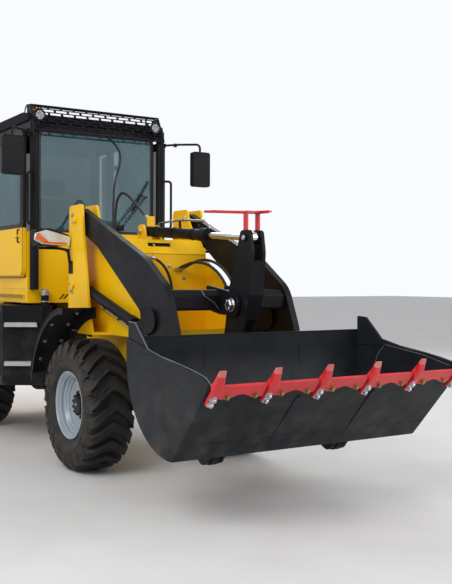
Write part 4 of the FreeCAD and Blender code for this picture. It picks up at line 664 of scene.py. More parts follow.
# ------------------------------------------------------------------ wheels
LUGS = 21
TYRE_HALF = 199.0                   # from the tyre's middle to its widest bulge
RIB_HALF, RIB_AT = 11, 440.0        # half a shoulder rib's width, and the radius where it stands
LUG_LEAD, LUG_AT = 0.30, 520.0      # angle by which a bar's shoulder end leads, radius of its widths


def about_axle(d, r, angle):
    """Points at d across and r (sin a, cos a) ahead and up."""
    return np.stack(np.broadcast_arrays(r * np.sin(angle), d, r * np.cos(angle)), -1)


def tyre_carcass(y):
    """Tyre body below the lugs: a closed section of (distance from the middle, radius), turned."""
    half = [(0, 494), (60, 493), (110, 491), (150, 481), (174, 462), (187, 443), (194, 410), (195, 384),
            (199, 380), (199, 373), (194, 369), (191, 348), (183, 322), (178, 312), (180, 307), (174, 300),
            (164, 290), (158, 276), (156, 262), (150, 254), (120, 252)]
    section = half + [(-d, r) for d, r in half[::-1][:-1]]
    return turned(section, (0, y, AXLE_Z), around=96, closed=True)


def shoulder_ribs(y):
    """Small ribs between the bars' ends, down each shoulder: a block swept along (distance, radius)."""
    path = np.array([(176, 500), (189, 486), (197, 458), (199, 432), (197, 412), (190, 402)], float)
    foot = np.array([(170, 470), (180, 455), (188, 436), (192, 420), (192, 408), (188, 400)], float)
    reach = np.array([0.0, 1.0, 1.0, 0.0])
    d, r = np.moveaxis(foot[:, None] + (path - foot)[:, None] * reach[None, :, None], -1, 0)
    angle = np.array([-1.0, -0.7, 0.7, 1.0]) * RIB_HALF / RIB_AT
    step = (np.arange(LUGS * 2) + 0.5) * math.pi / LUGS
    ribs = copies(rings(about_axle(d, r, angle)), np.zeros((LUGS * 2, 3)), spins(step, 1))
    return moved(both(ribs), (0, y, AXLE_Z))


def tyre_lugs(y):
    """Chevron bars: across u in -1..1 the bar's middle is at angle lead |u|^1.25, its top and foot follow
    two profiles from crown to shoulder, its flanks lean out to its foot and its top carries two pockets."""
    def crown(profile):
        return np.array(profile[:0:-1] + profile, float)[:, None]

    d = crown([0, 30, 62, 95, 125, 150, 168, 181, 190, 196, 199])
    d[:10] *= -1
    top = crown([537.2, 537, 536.5, 534.5, 531, 525, 514, 496, 470, 446, 428])
    foot = crown([490, 490, 489, 487, 481, 472, 457, 440, 424, 412, 404])
    u = np.abs(d / TYRE_HALF)
    width = 30 + 14 * u ** 1.5
    pocket = 9.0 * np.exp(-((np.abs(d) - 158) / 15.0) ** 2) + 6.0 * np.exp(-((np.abs(d) - 60) / 9.0) ** 2)
    side, lift = np.array([(-1.28, 0), (-1.05, 0.75), (-0.92, 1.0), (-0.45, 1.0), (-0.3, 0.0), (0.3, 0.0),
                           (0.45, 1.0), (0.92, 1.0), (1.05, 0.75), (1.28, 0)]).T
    in_pocket = np.abs(side) < 0.4
    r = np.where(in_pocket, top - pocket, foot + (top - foot) * lift)
    angle = side * width / LUG_AT + LUG_LEAD * u ** 1.25
    return copies(rings(about_axle(d, r, angle)), np.tile([0, y, AXLE_Z], (LUGS, 1)),
                  spins(np.arange(LUGS) * FULL / LUGS, 1))


def wheel_disc(y, side):
    """Rim section: flange, bead seat, well and the deep dished disc, from (distance out, radius)."""
    outer = [(170, 270), (169, 275), (164, 276), (157, 275), (155, 256), (110, 253), (80, 236), (-80, 236),
             (-110, 253), (-155, 256), (-158, 276), (-170, 276), (-170, 262), (-150, 244), (-100, 226),
             (20, 224), (36, 210), (40, 190), (44, 84), (56, 84), (58, 150), (60, 192), (66, 205), (80, 209),
             (84, 217), (90, 221), (98, 222), (106, 226), (112, 236), (136, 239), (142, 247), (150, 249),
             (153, 257), (160, 259), (164, 266)]
    return turned([(side * d, r) for d, r in outer], (0, y, AXLE_Z), around=96, closed=True)


def wheel_hub(y, side):
    """Black drive flange with ten round lobes, a bolt in each, and a small bright plug at its middle."""
    way = (0, side, 0)
    body = turned([(side * d, r) for d, r in ((-70, 88), (58, 88), (62, 76), (92, 72), (100, 66), (104, 46),
                                              (102, 30), (102, 12))], (0, y, AXLE_Z))
    a = np.arange(10) * FULL / 10
    ring = about_axle(y + side * 56, 74, a) + (0, 0, AXLE_Z)
    lobe = turned([(0, 16), (34, 16), (38, 13)], axis=way, around=16)
    nuts = bolts(17, ring + (0, side * 37, 0), way)
    studs = bolts(20, about_axle(y + side * 57, 108, a) + (0, 0, AXLE_Z), way)
    plug = turned([(0, 14), (5, 14), (8, 10), (8, 5), (11, 4)], (0, y + side * 102, AXLE_Z), way, 20)
    return (merged(body, copies(lobe, ring)), merged(nuts, studs)), plug


def add_wheels():
    """Tyre with its tread, and rim with its hub and valve, on each wheel's body."""
    for row, x in (("front", 0.0), ("rear", REAR_X)):
        for name, side in SIDES:
            body = "wheel_%s_%s" % (row, name)
            y = side * TRACK_Y
            black, plug = wheel_hub(y, side)
            stem = [(60, y + side * out, AXLE_Z + up) for out, up in ((100, 226), (126, 218), (146, 212))]
            make("tyre_tread_%s_%s" % (row, name), body, "tyre_rubber",
                 (TYRE, tyre_carcass(y), tyre_lugs(y), shoulder_ribs(y)),
                 replaces=["tyre_%s_%s" % (row, name)], crease=40, ahead=x)
            make("wheel_%s_%s_rim" % (row, name), body, "silver_paint", (SILVER, wheel_disc(y, side)),
                 (BLACK, *black), (ZINC, plug), (RUBBER, tube(stem, 4.5, 8, X)),
                 replaces=["rim_%s_%s" % (row, name)], ahead=x)


# ------------------------------------------------------------------ loader bucket
EDGE_AT = (2466.0, 0.0, 950.0)      # front edge of the bucket's floor
EDGE_SLOPE = math.atan2(516.0, 476.0)
TEETH_Y = [-980.0 + 392.0 * i for i in range(6)]
TOOTH_ROOM = 37                     # from a tooth's middle to the segment beside it
BUCKET_SIDE_Y = 1019.0              # outer face of the bucket's side plates


def on_floor(shape):
    """Lays a shape drawn flat, X towards the edge and Z up off the floor, onto the bucket's floor."""
    c, s = math.cos(EDGE_SLOPE), math.sin(EDGE_SLOPE)
    return moved(shape, EDGE_AT, [(c, 0, -s), Y, (s, 0, c)])


CAST_AROUND, CAST_SQUARE = 16, 0.4  # points round a cast section, and its squareness


def cast_bar(stations):
    """Cast bar along X through (x, low, high, half width) stations: each section is the
    superellipse y = w cos^p, z = middle + h sin^p with p the squareness."""
    x, low, high, width = np.asarray(stations, float).T[:, :, None]
    a = (np.arange(CAST_AROUND) + 0.5) * FULL / CAST_AROUND
    c = np.sign(np.cos(a)) * np.abs(np.cos(a)) ** CAST_SQUARE
    s = np.sign(np.sin(a)) * np.abs(np.sin(a)) ** CAST_SQUARE
    return rings(np.stack(np.broadcast_arrays(x, width * c, (low + high) / 2 + (high - low) / 2 * s), -1))


def add_bucket_edge():
    """Scalloped edge segments between six cast teeth, all bolted under the floor's front edge."""
    tooth = cast_bar([(-158, -16, -6, 12), (-155, -22, -2, 21), (-147, -26, 0, 26), (-120, -29, 0, 28),
                      (-60, -34, 0, 29), (-26, -40, 1, 30), (-14, -41, 8, 36), (4, -39, 15, 36),
                      (18, -37, 15, 30), (40, -34, 14, 28), (84, -12, 13, 26)])
    tip = cast_bar([(84, -12, 13, 26), (108, 1, 12.4, 25), (117, 6, 11.5, 23)])
    places = [(0, y, 0) for y in TEETH_Y]
    segments, holes = [], []
    for y0, y1 in zip(TEETH_Y, TEETH_Y[1:]):
        a, b = y0 + TOOTH_ROOM, y1 - TOOTH_ROOM
        outline = [(8, a), (8, b), (-98, b, 8), (-106, b - 62, 50), (-74, b - 126, 50),
                   (-62, (a + b) / 2, 70), (-74, a + 126, 50), (-106, a + 62, 50), (-98, a, 8)]
        segments.append(plate(outline, -22, 0, XY, 2.5, 6))
        holes += [(-80, a + 60, -22), (-80, b - 60, -22)]
    adapter_bolts = [(x, y, z) for y in TEETH_Y for x, z in ((-130, -28), (-84, -31))]
    make("bucket_edge", "loader_bucket", "red_paint", (RED, on_floor(copies(tooth, places))),
         (WORN, on_floor(copies(tip, places))), (RED, on_floor(merged(*segments))),
         (BRONZE, on_floor(bolts(24, holes, (0, 0, -1)))),
         (ZINC, on_floor(bolts(27, adapter_bolts, (0, 0, -1)))), replaces=["cutting_edge"])


def add_bucket_details():
    """Doubler plates of the side plates, light grey lines along their edges and seams as painted highlights,
    heel plate and strips under the floor, weld seams.
    """
    inner = BUCKET_SIDE_Y - 17
    doubler = plate([(1392, 1066), (1711, 1077), (1926, 1062), (2128, 1035), (2290, 1010), (2398, 988, 20),
                     (2452, 951, 12), (2345, 814), (2306, 856, 12), (2238, 896, 30), (2129, 915), (1926, 954),
                     (1679, 981), (1392, 986)], BUCKET_SIDE_Y - 1, BUCKET_SIDE_Y + 5, XZ, 1.5)
    lip = [(1403, 1277.5), (1496, 1273.5), (1600, 1181.5), (1708, 1083.5), (1926, 1067.5), (2128, 1041.5),
           (2290, 1016.5), (2396, 994.5), (2440, 969.5), (2460, 949.5)]
    corner = [(1716, 1076), (1640, 1000), (1590, 900), (1600, 740)]
    # painted highlight: the lip and the two seam lines get light grey tubes where they catch the light
    seams = [(lip, BUCKET_SIDE_Y - 8, 3.0), (corner, inner, 3.5),
             ([(1724, 1070), (2120, 1022), (2380, 965)], inner, 2.6)]
    edge_highlight_lines = [tube(side_line(line, y), radius, 8, Y) for line, y, radius in seams]
    heel = on_floor(plate(rectangle(-700, -545, -1010, 1010), -8, 0, XY, 1.5))
    strips = [on_floor(plate([(-640, y - 17, 6), (-150, y - 17, 12), (-150, y + 17, 12), (-640, y + 17, 6)],
                             -10, 0, XY, 2)) for y in (-310, 310)]
    rib = plate([(1386, -1000), (1386, 1000), (1398, 1000), (1398, -1000)], 1163, 1175, XY, 2)
    seam = tube([(1397.5 + 0.8 * math.sin(k * 1.7), y, 956 + 1.5 * math.sin(k * 2.3))
                 for k, y in enumerate(np.linspace(-1000, 1000, 40))], 3.2, 8)
    foot_welds = [tube([(1392, y, 1172), (1398, y + 1, 1000), (1406, y - 1, 930)], 3, 8, Y)
                  for y in (-420, 420)]
    make("bucket_details", "loader_bucket", "bucket_paint", (BUCKET, both(doubler)), (EDGE_HIGHLIGHT, both(*edge_highlight_lines)),
         (BUCKET, heel, *strips, rib, seam, *foot_welds))


# ------------------------------------------------------------------ pins and pipes of the loader
ARM_MID = 532.5
TOWER_FACE = 611.0                  # outer end of the towers' pins
KEEPER_FACE = 603                   # outer face of the towers' plates, under the keepers
LIFT_BASE, LIFT_EYE = (-500.0, 1512.0), (705.0, 1172.0)
TILT_BASE, TILT_EYE = (-240.0, 1985.0), (1380.0, 1868.0)
BUCKET_PIN, LINK_BOTTOM = (1680, 385), (1470, 576)


def side_places(x, z, y, mid=0.0):
    """The two outer ends of a pin across the machine, each with its outward direction."""
    return [((x, mid + y, z), Y), ((x, mid - y, z), (0, -1, 0))]


def pins(radius, ends, keeper=0.0):
    return merged(*[pin_end(radius, [place], way, keeper) for place, way in ends])


def keeper_plate(x, z, tilt):
    """Round-ended keeper with two bolts, laid on the outer plate; tilt leans its top to the front."""
    c, s = math.cos(tilt), math.sin(tilt)
    return [moved(shape, (x, KEEPER_FACE, z), [(s, c, 0), Z, (c, -s, 0)])
            for shape in (plate(rectangle(-52, 52, -17, 17, 16), 0, 9, XY, 2, 5),
                          bolts(22, [(-32, 0, 9), (32, 0, 9)], Z))]


def castle_nut(size):
    """Hexagon nut with a slotted crown, along +Z, and the split pin through it."""
    castle = plate(rectangle(size * 0.30, size * 0.44, -size * 0.13, size * 0.13), size * 0.30, size * 0.46,
                   XY, 1.5, 2)
    washer = [(-2, size * 0.66), (5, size * 0.66), (7, size * 0.63)]
    thread = [(0, size * 0.28), (size * 0.40, size * 0.28), (size * 0.44, size * 0.24)]
    split = tube([(-size * 0.55, 0, size * 0.38), (size * 0.55, 0, size * 0.38)], 3.0, 8)
    return merged(turned(washer, axis=Z, around=32), moved(hexagon(size, size * 0.36), (0, 0, 6)),
                  copies(castle, np.zeros((6, 3)), spins(np.arange(6) * math.pi / 3, 2)),
                  turned(thread, axis=Z, around=24), split)


def add_loader_pins():
    """Pin ends, keepers and nuts at the loader's joints, each on the body that carries the pin."""
    bars, heads = zip(keeper_plate(-491, 2089, -0.42), keeper_plate(-540, 1489, -0.12))
    caps = pins(27, side_places(-460, 2075, TOWER_FACE) + side_places(*LIFT_BASE, TOWER_FACE))
    ears = pins(22, side_places(*TILT_BASE, 92))
    plate_bolts = bolts(20, [(0, 73, 1678), (0, 216, 1574), (0, -216, 1574), (0, -330, 1700)], X)
    make("tower_pins", "front_frame", "yellow_paint", (YELLOW, both(*bars)), (ZINC, both(*heads)),
         (YELLOW, caps), (ZINC, ears, plate_bolts))
    nuts = [moved(castle_nut(78), place, aim(way)) for place, way in side_places(1262, 1375, 104)]
    lift_ends = pins(24, side_places(*LIFT_EYE, ARM_MID + 62))
    # painted highlight: light grey tubes along the stiffener plates' edges, where they catch the light
    edges = both(tube([(1101, 237, 1440), (1101, 150, 1385), (1101, 112, 1338)], 4, 8, X),
                 tube([(1062, 240, 1484), (1101, 237, 1440)], 4, 8, Y))
    plates = both(plate([(112, 1332), (150, 1385, 20), (237, 1442), (237, 1332)], 1100, 1104, YZ, 1))
    make("boom_pins", "loader_boom", "chrome_rod", (ZINC, *nuts, lift_ends), (EDGE_HIGHLIGHT, edges),
         (BLACK, plates))
    make("rocker_pins", "rocker", "chrome_rod",
         (ZINC, pins(19, side_places(*TILT_EYE, 72)), pins(20, side_places(1095, 935, 68))))
    low = side_places(*BUCKET_PIN, 74, ARM_MID) + side_places(*BUCKET_PIN, 74, -ARM_MID)
    make("bucket_pins", "loader_bucket", "chrome_rod",
         (ZINC, pins(22, low), pins(18, side_places(*LINK_BOTTOM, 68))))


def along_line(start, end, distance, out=0.0):
    """Side-view point at a distance from start towards end, and out to the upper side."""
    dx, dz = end[0] - start[0], end[1] - start[1]
    span = math.hypot(dx, dz)
    return (start[0] + (dx * distance - dz * out) / span, start[1] + (dz * distance + dx * out) / span)


def gland(start, end, y, distance, radius, length, bolt_size=12):
    """Screwed gland at a barrel's open end with a wiper ring, and cap screws round its face."""
    x, z = along_line(start, end, distance)
    way = np.array([end[0] - start[0], 0, end[1] - start[1]])
    way = way / np.linalg.norm(way)
    ring = turned([(-length, radius * 0.90), (-length + 4, radius), (-length * 0.55, radius),
                   (-length * 0.5, radius * 0.95), (-length * 0.42, radius * 0.95), (-length * 0.38, radius),
                   (-4, radius), (0, radius * 0.94), (0, radius * 0.62), (5, radius * 0.60),
                   (6, radius * 0.56)], (x, y, z), way, 40)
    spots = circle(8, 1) * radius * 0.80 @ aim(way).T + (x, y, z)
    return merged(ring, bolts(bolt_size, spots, way))


def add_loader_pipes():
    """Steel pipes, unions and glands on the loader's cylinders."""
    pipes, black = [], []
    for y in (ARM_MID, -ARM_MID):
        run = [along_line(LIFT_BASE, LIFT_EYE, d, out)
               for d, out in ((300, -40), (318, -62), (1000, -62), (1022, -40))]
        pipes.append(tube(bent(side_line(run, y), 25, 5), 6, 10, Y))
        black.append(gland(LIFT_BASE, LIFT_EYE, y, 1085, 47, 62))
        for d in (520, 800):
            x, z = along_line(LIFT_BASE, LIFT_EYE, d, -62)
            black.append(moved(collar(9, 10, 9, 6, axis=(0.962, 0, -0.272)), (x, y, z)))
    make("lift_cylinder_pipes", "lift_barrels", "black_paint", (ZINC, *pipes), (BLACK, *black))
    route = bent([(-158, 44, 2004), (-158, 50, 2054), (90, 50, 2060), (292, 50, 2060), (616, 50, 2036),
                  (700, 50, 1995), (722, 44, 1950)], 34, 6)
    unions = [moved(collar(20, 16, 18, 13, axis=way), (x, 50, z))
              for x, z, way in ((86, 2060, X), (300, 2060, (1, 0, -0.07)), (600, 2038, (1, 0, -0.1)))]
    tee = turned([(0, 9), (22, 9), (24, 12), (34, 12)], (300, 50, 2060), Z, 12)
    clamps = []
    for d, top in ((150, 2054), (470, 2054), (780, 2010)):
        x, z = along_line(TILT_BASE, TILT_EYE, d)
        clamps += [collar(11, 49, 11, 45.5, (x, 0, z),
                          (TILT_EYE[0] - TILT_BASE[0], 0, TILT_EYE[1] - TILT_BASE[1]), 40, True),
                   block(x - 9, x + 9, 38, 56, z + 20, top)]
    lug = turned([(0, 16), (40, 16), (44, 13)], (722, 40, 1916), Z, 16)
    make("tilt_cylinder_pipe", "tilt_barrel", "black_paint", (ZINC, tube(route, 9.5, 12, Y), *unions, tee),
         (BLACK, *clamps, gland(TILT_BASE, TILT_EYE, 0, 1010, 57, 84, 14), lug))


POINTER = [(1500, 2044), (1500, 2066), (1340, 2071), (604, 2122), (588, 2116), (588, 2103), (1340, 2047)]


def add_pointer():
    """Standing flange along the flat bar of the bucket-level pointer, widest at the rocker's end."""
    make("pointer_flange", "rocker", "red_paint", (RED, plate(POINTER, 63, 69, XZ, 1)))


def add_frame_details():
    """Fold in the cross plate, a black plate behind its slot as painted shade, its bolt, the towers' lashing
    hooks and beads.
    """
    fold = tube([(3, -436, 1786), (3, 436, 1786)], 4.0, 8)
    hook = both(plate([(-215, 1078, 8), (-150, 1074, 14), (-118, 1110, 12), (-150, 1126, 8), (-170, 1108, 8),
                       (-190, 1168, 8), (-240, 1168, 8)], 585, 601, XZ, 2))
    bead = both(tube([(-600, 606, 1116), (-112, 606, 1116)], 4, 8))
    # painted shade: a black plate behind the cross plate's slot, dark where there is only shade in it
    slot_shade_plate = plate([(-44, 1832), (-86, 1892), (-94, 1887), (-52, 1827)], -124, 124, XZ, 1)
    plug = moved(turned([(0, 13), (9, 13), (12, 9)], axis=(0.82, 0, 0.57), around=16), (-66, -43, 1858))
    make("tower_details", "front_frame", "yellow_paint", (YELLOW, fold), (BLACK, hook), (YELLOW, bead),
         (BLACK, slot_shade_plate), (ZINC, plug))


# ------------------------------------------------------------------ cab
CAB_FRONT, CAB_REAR, CAB_HALF = -1330.0, -2850.0, 720.0      # outer faces of the yellow sheet
ROOF_TOP = 3150.0
VISOR = [(-1452, 3222), (-1352, 3212), (-1216, 2958)]    # side view of the mesh, from its rear edge
VISOR_HALF = 680.0
VISOR_PITCH, VISOR_CELL = 36.0, 132.0                   # from bar to bar, and from post to post
DOOR_FACE = 761.0
WIPER_X = -1318
FILLER = np.array([-1278.0, -566.0])                    # middle of the filler's cap


def trim(outline, section, plane):
    """Closed strip round an outline: each (inset, level) of the section gives one copy of the outline."""
    flat = rounded(outline, 6)
    loops = [(inset(flat, inwards), level) for inwards, level in section]
    return outward(grid(laid(loops, plane), True, True))


def round_section(radius, inwards, level):
    return [(inwards + x, level + y) for x, y in circle(8, radius)[:, :2]]


def thin_boxes(size, places, turns):
    """Plain six-sided bars of one size at many places."""
    x, y, z = (s / 2 for s in size)
    ring = np.array([(-x, -y), (x, -y), (x, y), (-x, y)])
    bar = rings(np.stack([np.c_[ring, np.full(4, level)] for level in (-z, z)]))
    return copies(bar, places, turns)


def add_visor():
    """Black mesh on two facets: bars along Y, and short posts between them that are staggered like bricks."""
    parts = [tube([(x, -VISOR_HALF, z), (x, VISOR_HALF, z)], 9, 10) for x, z in VISOR]
    gusset = [(-1446, 3148), (-1450, 3212), (-1354, 3204), (-1222, 2960), (-1240, 2960), (-1330, 3100, 40)]
    for side in (-1, 1):
        parts += [tube(side_line(VISOR, side * VISOR_HALF), 9, 10, Y),
                  plate(gusset, *sorted((side * 684.0, side * 679.0)), XZ, 1.0),
                  tube([(-1300, side * 660, 2990), (-1222, side * 660, 2976)], 9, 10, Y),
                  tube([(-1425, side * 580, ROOF_TOP - 6), (-1425, side * 580, 3214)], 9, 10, Y)]
    count = int(2 * VISOR_HALF // VISOR_CELL)
    for a, b in zip(VISOR, VISOR[1:]):
        span = math.dist(a, b)
        rows = max(int(round(span / VISOR_PITCH)), 1)
        start, way = np.array([a[0], 0, a[1]]), np.array([b[0] - a[0], 0, b[1] - a[1]]) / span
        turn = np.stack([way, Y, np.cross(way, Y)], axis=1)
        for row in range(rows):
            d0, d1 = span * row / rows, span * (row + 1) / rows
            if row < rows - 1:
                parts.append(thin_boxes((9, 2 * VISOR_HALF, 5), [start + way * d1], [turn]))
            shift = VISOR_CELL / 2 * (row % 2) - VISOR_CELL / 4
            ys = -VISOR_HALF + VISOR_CELL * (np.arange(count) + 0.5) + shift
            x, _, z = start + way * (d0 + d1) / 2
            parts.append(thin_boxes((d1 - d0, 24, 5), [(x, y, z) for y in ys],
                                    np.repeat(turn[None], count, 0)))
    make("sun_visor", "rear_frame", "black_paint", (BLACK, *parts), replaces=["roof_visor"])


def work_lamp(centre):
    """Round lamp: deep finned bowl, bezel, and a lens with a grid of small domes."""
    bowl = turned([(-46, 22), (-44, 34), (-34, 44), (-22, 50), (-8, 56), (4, 58), (8, 56), (8, 50), (2, 49),
                   (0, 46), (0, 2)], axis=X, around=40)
    lens = turned([(0.5, 46), (3, 46), (4, 40), (4, 2)], axis=X, around=32)
    spots = [(4, y, z) for y in range(-36, 37, 12) for z in range(-36, 37, 12) if math.hypot(y, z) < 42]
    dome = turned([(0, 5), (2.5, 4.4), (4, 2.6), (4.4, 0.8)], axis=X, around=10)
    stem = tube([(-24, 0, -50), (-24, 0, -84), (-44, 0, -96)], 7, 8, Y)
    return [moved(shape, centre) for shape in (merged(bowl, stem), lens, copies(dome, spots))]


def add_roof_lamps():
    """Two work lamps at the visor's front corners and an amber beacon behind a hoop."""
    black, lens, white = zip(work_lamp((-1182, -655, 3092)), work_lamp((-1182, 560, 3080)))
    foot = (-1490, -600, ROOF_TOP)
    base = turned([(-4, 62), (6, 62), (10, 56), (16, 52)], foot, Z, 32)
    dome = turned([(14, 48), (20, 52), (46, 50), (58, 42), (66, 26), (69, 6)], foot, Z, 32)
    hoop = tube(bent([(-1490, -690, ROOF_TOP - 2), (-1490, -680, 3232), (-1490, -520, 3232),
                      (-1490, -510, ROOF_TOP - 2)], 60, 8), 6, 10, X)
    make("roof_lamps", "rear_frame", "lamp_lens", (PLASTIC, *black), (BLACK, *lens), (LENS, *white),
         (BLACK, base, hoop), (AMBER, dome))


S_SEAM = [(116, 2955), (160, 2932), (206, 2892), (240, 2838), (252, 2765), (238, 2680), (205, 2585),
          (186, 2480), (178, 2330), (176, 2180), (178, 2035)]


def smooth_line(points, steps=6):
    """Catmull-Rom curve through points: each span blends its four nearest points by cubic weights."""
    p = np.asarray(points, float)
    p = np.concatenate([[2 * p[0] - p[1]], p, [2 * p[-1] - p[-2]]])
    t = np.linspace(0, 1, steps, endpoint=False)[None, :, None]
    a, b, c, d = (p[k:len(p) - 3 + k, None] for k in range(4))
    line = 0.5 * (2 * b + (c - a) * t + (2 * a - 5 * b + 4 * c - d) * t ** 2 + (3 * b - a - 3 * c + d)
                  * t ** 3)
    return np.concatenate([line.reshape(-1, p.shape[1]), p[-2:-1]])


def add_windows():
    """Rubber seals round the glass, the windscreen's curved seam, the doors' trims and the wiper."""
    front = trim(rectangle(-618, 618, 2006, 2992, 60),
                 [(i, CAB_FRONT - d) for i, d in ((-4, 8), (30, 8), (34, 13), (34, 22), (-4, 22))], YZ)
    rear = trim(rectangle(-622, 622, 2004, 2992, 60),
                [(i, CAB_REAR + d) for i, d in ((-4, -9), (26, -9), (30, -4), (30, 8), (-4, 8))], YZ)
    seam = tube(smooth_line([(CAB_FRONT - 12, y, z) for y, z in S_SEAM]), 9, 10, X)
    corner = plate(S_SEAM + [(590, 2035, 40), (590, 2960, 40)], CAB_FRONT - 14.5, CAB_FRONT - 13, YZ, 0.3)
    make("window_seals", "rear_frame", "hose_rubber", (RUBBER, front, rear, seam), (GLASS, corner))
    seal = trim(rectangle(-2320, -1405, 2075, 2915, 40),
                [(i, DOOR_FACE + d) for i, d in ((-12, -1), (-10, 4), (4, 4), (14, -10), (14, -14),
                                                 (-1, -14))], XZ)
    lines = trim([(-2374, 1586, 16), (-1352, 1586, 84), (-1352, 2968, 56), (-2374, 2968, 16)],
                 round_section(4, 3, DOOR_FACE), XZ)
    lock = turned([(-3, 17), (3, 17), (5, 14), (5, 5)], (-1560, DOOR_FACE, 1972), Y, 20)
    grip = tube(bent([(-1440, DOOR_FACE - 2, 1910), (-1440, DOOR_FACE + 19, 1910),
                      (-1440, DOOR_FACE + 19, 2030), (-1440, DOOR_FACE - 2, 2030)], 14, 5), 7, 8, X)
    for name, side in SIDES:
        here = [on_side(shape, side) for shape in (seal, lines, lock, grip)]
        make("door_trim_%s" % name, "door_%s" % name, "black_plastic", (RUBBER, *here[:2]), (ZINC, here[2]),
             (PLASTIC, here[3]))
    strokes = ((WIPER_X, 2, 209, 2090, 470, 2411, 5), (WIPER_X, 2, 254, 2064, 528, 2399, 5),
               (WIPER_X, 0, 452, 2424, 545, 2390, 5), (WIPER_X - 4, 0, 380, 2250, 560, 2560, 7))
    arms = [tube([(x, y0, z0), (x + dx, y1, z1)], radius, 8) for x, dx, y0, z0, y1, z1, radius in strokes]
    make("wiper", "rear_frame", "black_plastic",
         (PLASTIC, *arms, block(-1332, -1300, 190, 275, 2050, 2098, 4)))


def add_cab_details():
    """Dashes and louvres pressed in the yellow sheet, drawn as black plates for painted shade, mirror glass
    and shells, and the filler's cap.
    """
    # painted shade: the pressed dashes here and the louvre slots below are black plates for the shade inside
    # the pressings
    dashes = [plate([(-a, 1371), (-a + 19, 1371), (-a + 64, 1416), (-a + 45, 1416)], CAB_FRONT - 1,
                    CAB_FRONT + 1.5, YZ, 0.5) for a in (405, 365)]
    skin = plate(rectangle(-2226, -1424, 1366, 1420, 8), CAB_HALF - 1, CAB_HALF + 2.5, XZ, 1)
    slots = [plate([(x, 1374, 3), (x + 9, 1374, 3), (x + 25, 1413, 3), (x + 16, 1413, 3)], CAB_HALF + 1,
                   CAB_HALF + 4, XZ, 0.8, 2) for x in range(-2212, -1450, 24)]
    crease = tube([(-2600, CAB_HALF + 1, 1470), (-1340, CAB_HALF + 1, 1470)], 3, 6)
    make("cab_pressings", "rear_frame", "yellow_paint", (PLASTIC, both(*dashes, *slots)),
         (YELLOW, both(skin), both(crease)))
    glass = both(plate(rectangle(896, 1064, 2516, 2834, 20), -1037, -1033.5, YZ, 1))
    shell = both(*[trim(rectangle(881, 1078.5, 2501, 2849, 25), round_section(5, 4, x), YZ)
                   for x in (-1035, -976)])
    boss = both(collar(24, 24, 20, 20, (-1010, 980, 2800), Z, 20),
                collar(12, 20, 10, 17, (-1200, 800, 2930), (1, 0.3, 0)))
    make("mirror_details", "rear_frame", "black_plastic", (MIRROR, glass), (PLASTIC, shell, boss))
    ribs = copies(block(-1.6, 1.6, -1.6, 1.6, 0, 34, 0.5), circle(28, 36) + (*FILLER, 1420))
    cap = turned([(-6, 41), (0, 42), (4, 36), (44, 36), (50, 31), (51, 6)], (*FILLER, 1414), Z, 40)
    clip = turned([(-5, 41), (5, 41)], (*FILLER, 1350), Z, 32)
    make("filler_cap", "rear_frame", "chrome_rod", (ZINC, cap, ribs, clip))


TREAD_FROM = np.array([-1425.0, 930.0])         # ends of the tank's slanted corner
TREAD_TO = np.array([-1222.0, 605.0])


def step_tread(z):
    """Serrated tread on a tank's slanted corner: a toothed strip, and a lip with rounded teeth below it."""
    run = (TREAD_TO - TREAD_FROM) / np.linalg.norm(TREAD_TO - TREAD_FROM)
    turn = [(run[0], -run[1], 0), (run[1], run[0], 0), Z]
    along = np.arange(28, 336, 7.0)
    odd = np.arange(len(along)) % 2
    strip = plate([(26, 2), *np.c_[along, np.where(odd, 46.0, 39.0)], (338, 2)], 0.5, 4, XY, 0.4)
    lip = plate([(26, -38), (338, -38), *np.c_[along, np.where(odd, 6.0, 0.0)][::-1]], 45, 48, XZ, 0.4)
    holes = [turned([(0, 8), (2.5, 8), (3, 6), (1, 4)], (x, 22, 4), Z, 12) for x in range(50, 330, 28)]
    return moved(merged(strip, lip, *holes), (*TREAD_FROM, z), turn)


def add_tank_details():
    """Bright step treads, raised covers with latches and seams on the side tanks."""
    treads = both(*[step_tread(z) for z in (1150.0, 785.0)])
    cover = plate(rectangle(-2085, -1470, 640, 1255, 24), 928, 934, XZ, 2)
    brow = block(-2120, -1430, 900, 933, 1306, 1313)
    latch = both(turned([(0, 22), (4, 22), (6, 19), (3, 15), (3, 4)], (-1510, 933, 950), Y, 24),
                 block(-1530, -1490, 935, 939, 944, 956, 1.5))
    hinges = both(*[turned([(-38, 8), (38, 8)], (-2092, 936, z), Z, 14) for z in (760.0, 1140.0)])
    make("tank_details", "rear_frame", "black_paint", (TREAD_STEEL, treads), (BLACK, both(cover), both(brow)),
         (ZINC, latch), (BLACK, hinges))


FENDER_SHEET, FENDER_EDGE = 783, 787            # radii of the fender's bolts and of its rolled edge


def add_fender_details():
    """Rolled edge along the fender's outer flange, bolts through its sheet and a mud flap at its foot."""
    def arc(radius, degrees):
        a = np.radians(degrees)
        return np.c_[radius * np.cos(a), AXLE_Z + radius * np.sin(a)]

    rim = both(tube(side_line(arc(FENDER_EDGE, np.linspace(93, 164, 30)), 901), 5, 8, Y))
    heads = [bolts(18, [(x, y, z)], (-math.cos(math.radians(a)), 0, -math.sin(math.radians(a))))
             for a in (110, 126, 142, 156) for y in (668.0, 820.0) for x, z in arc(FENDER_SHEET, [a])]
    flap = both(block(-768, -758, 612, 892, 668, 775, 3))
    make("fender_details", "front_frame", "black_paint", (BLACK, rim), (ZINC, both(*heads)), (RUBBER, flap))


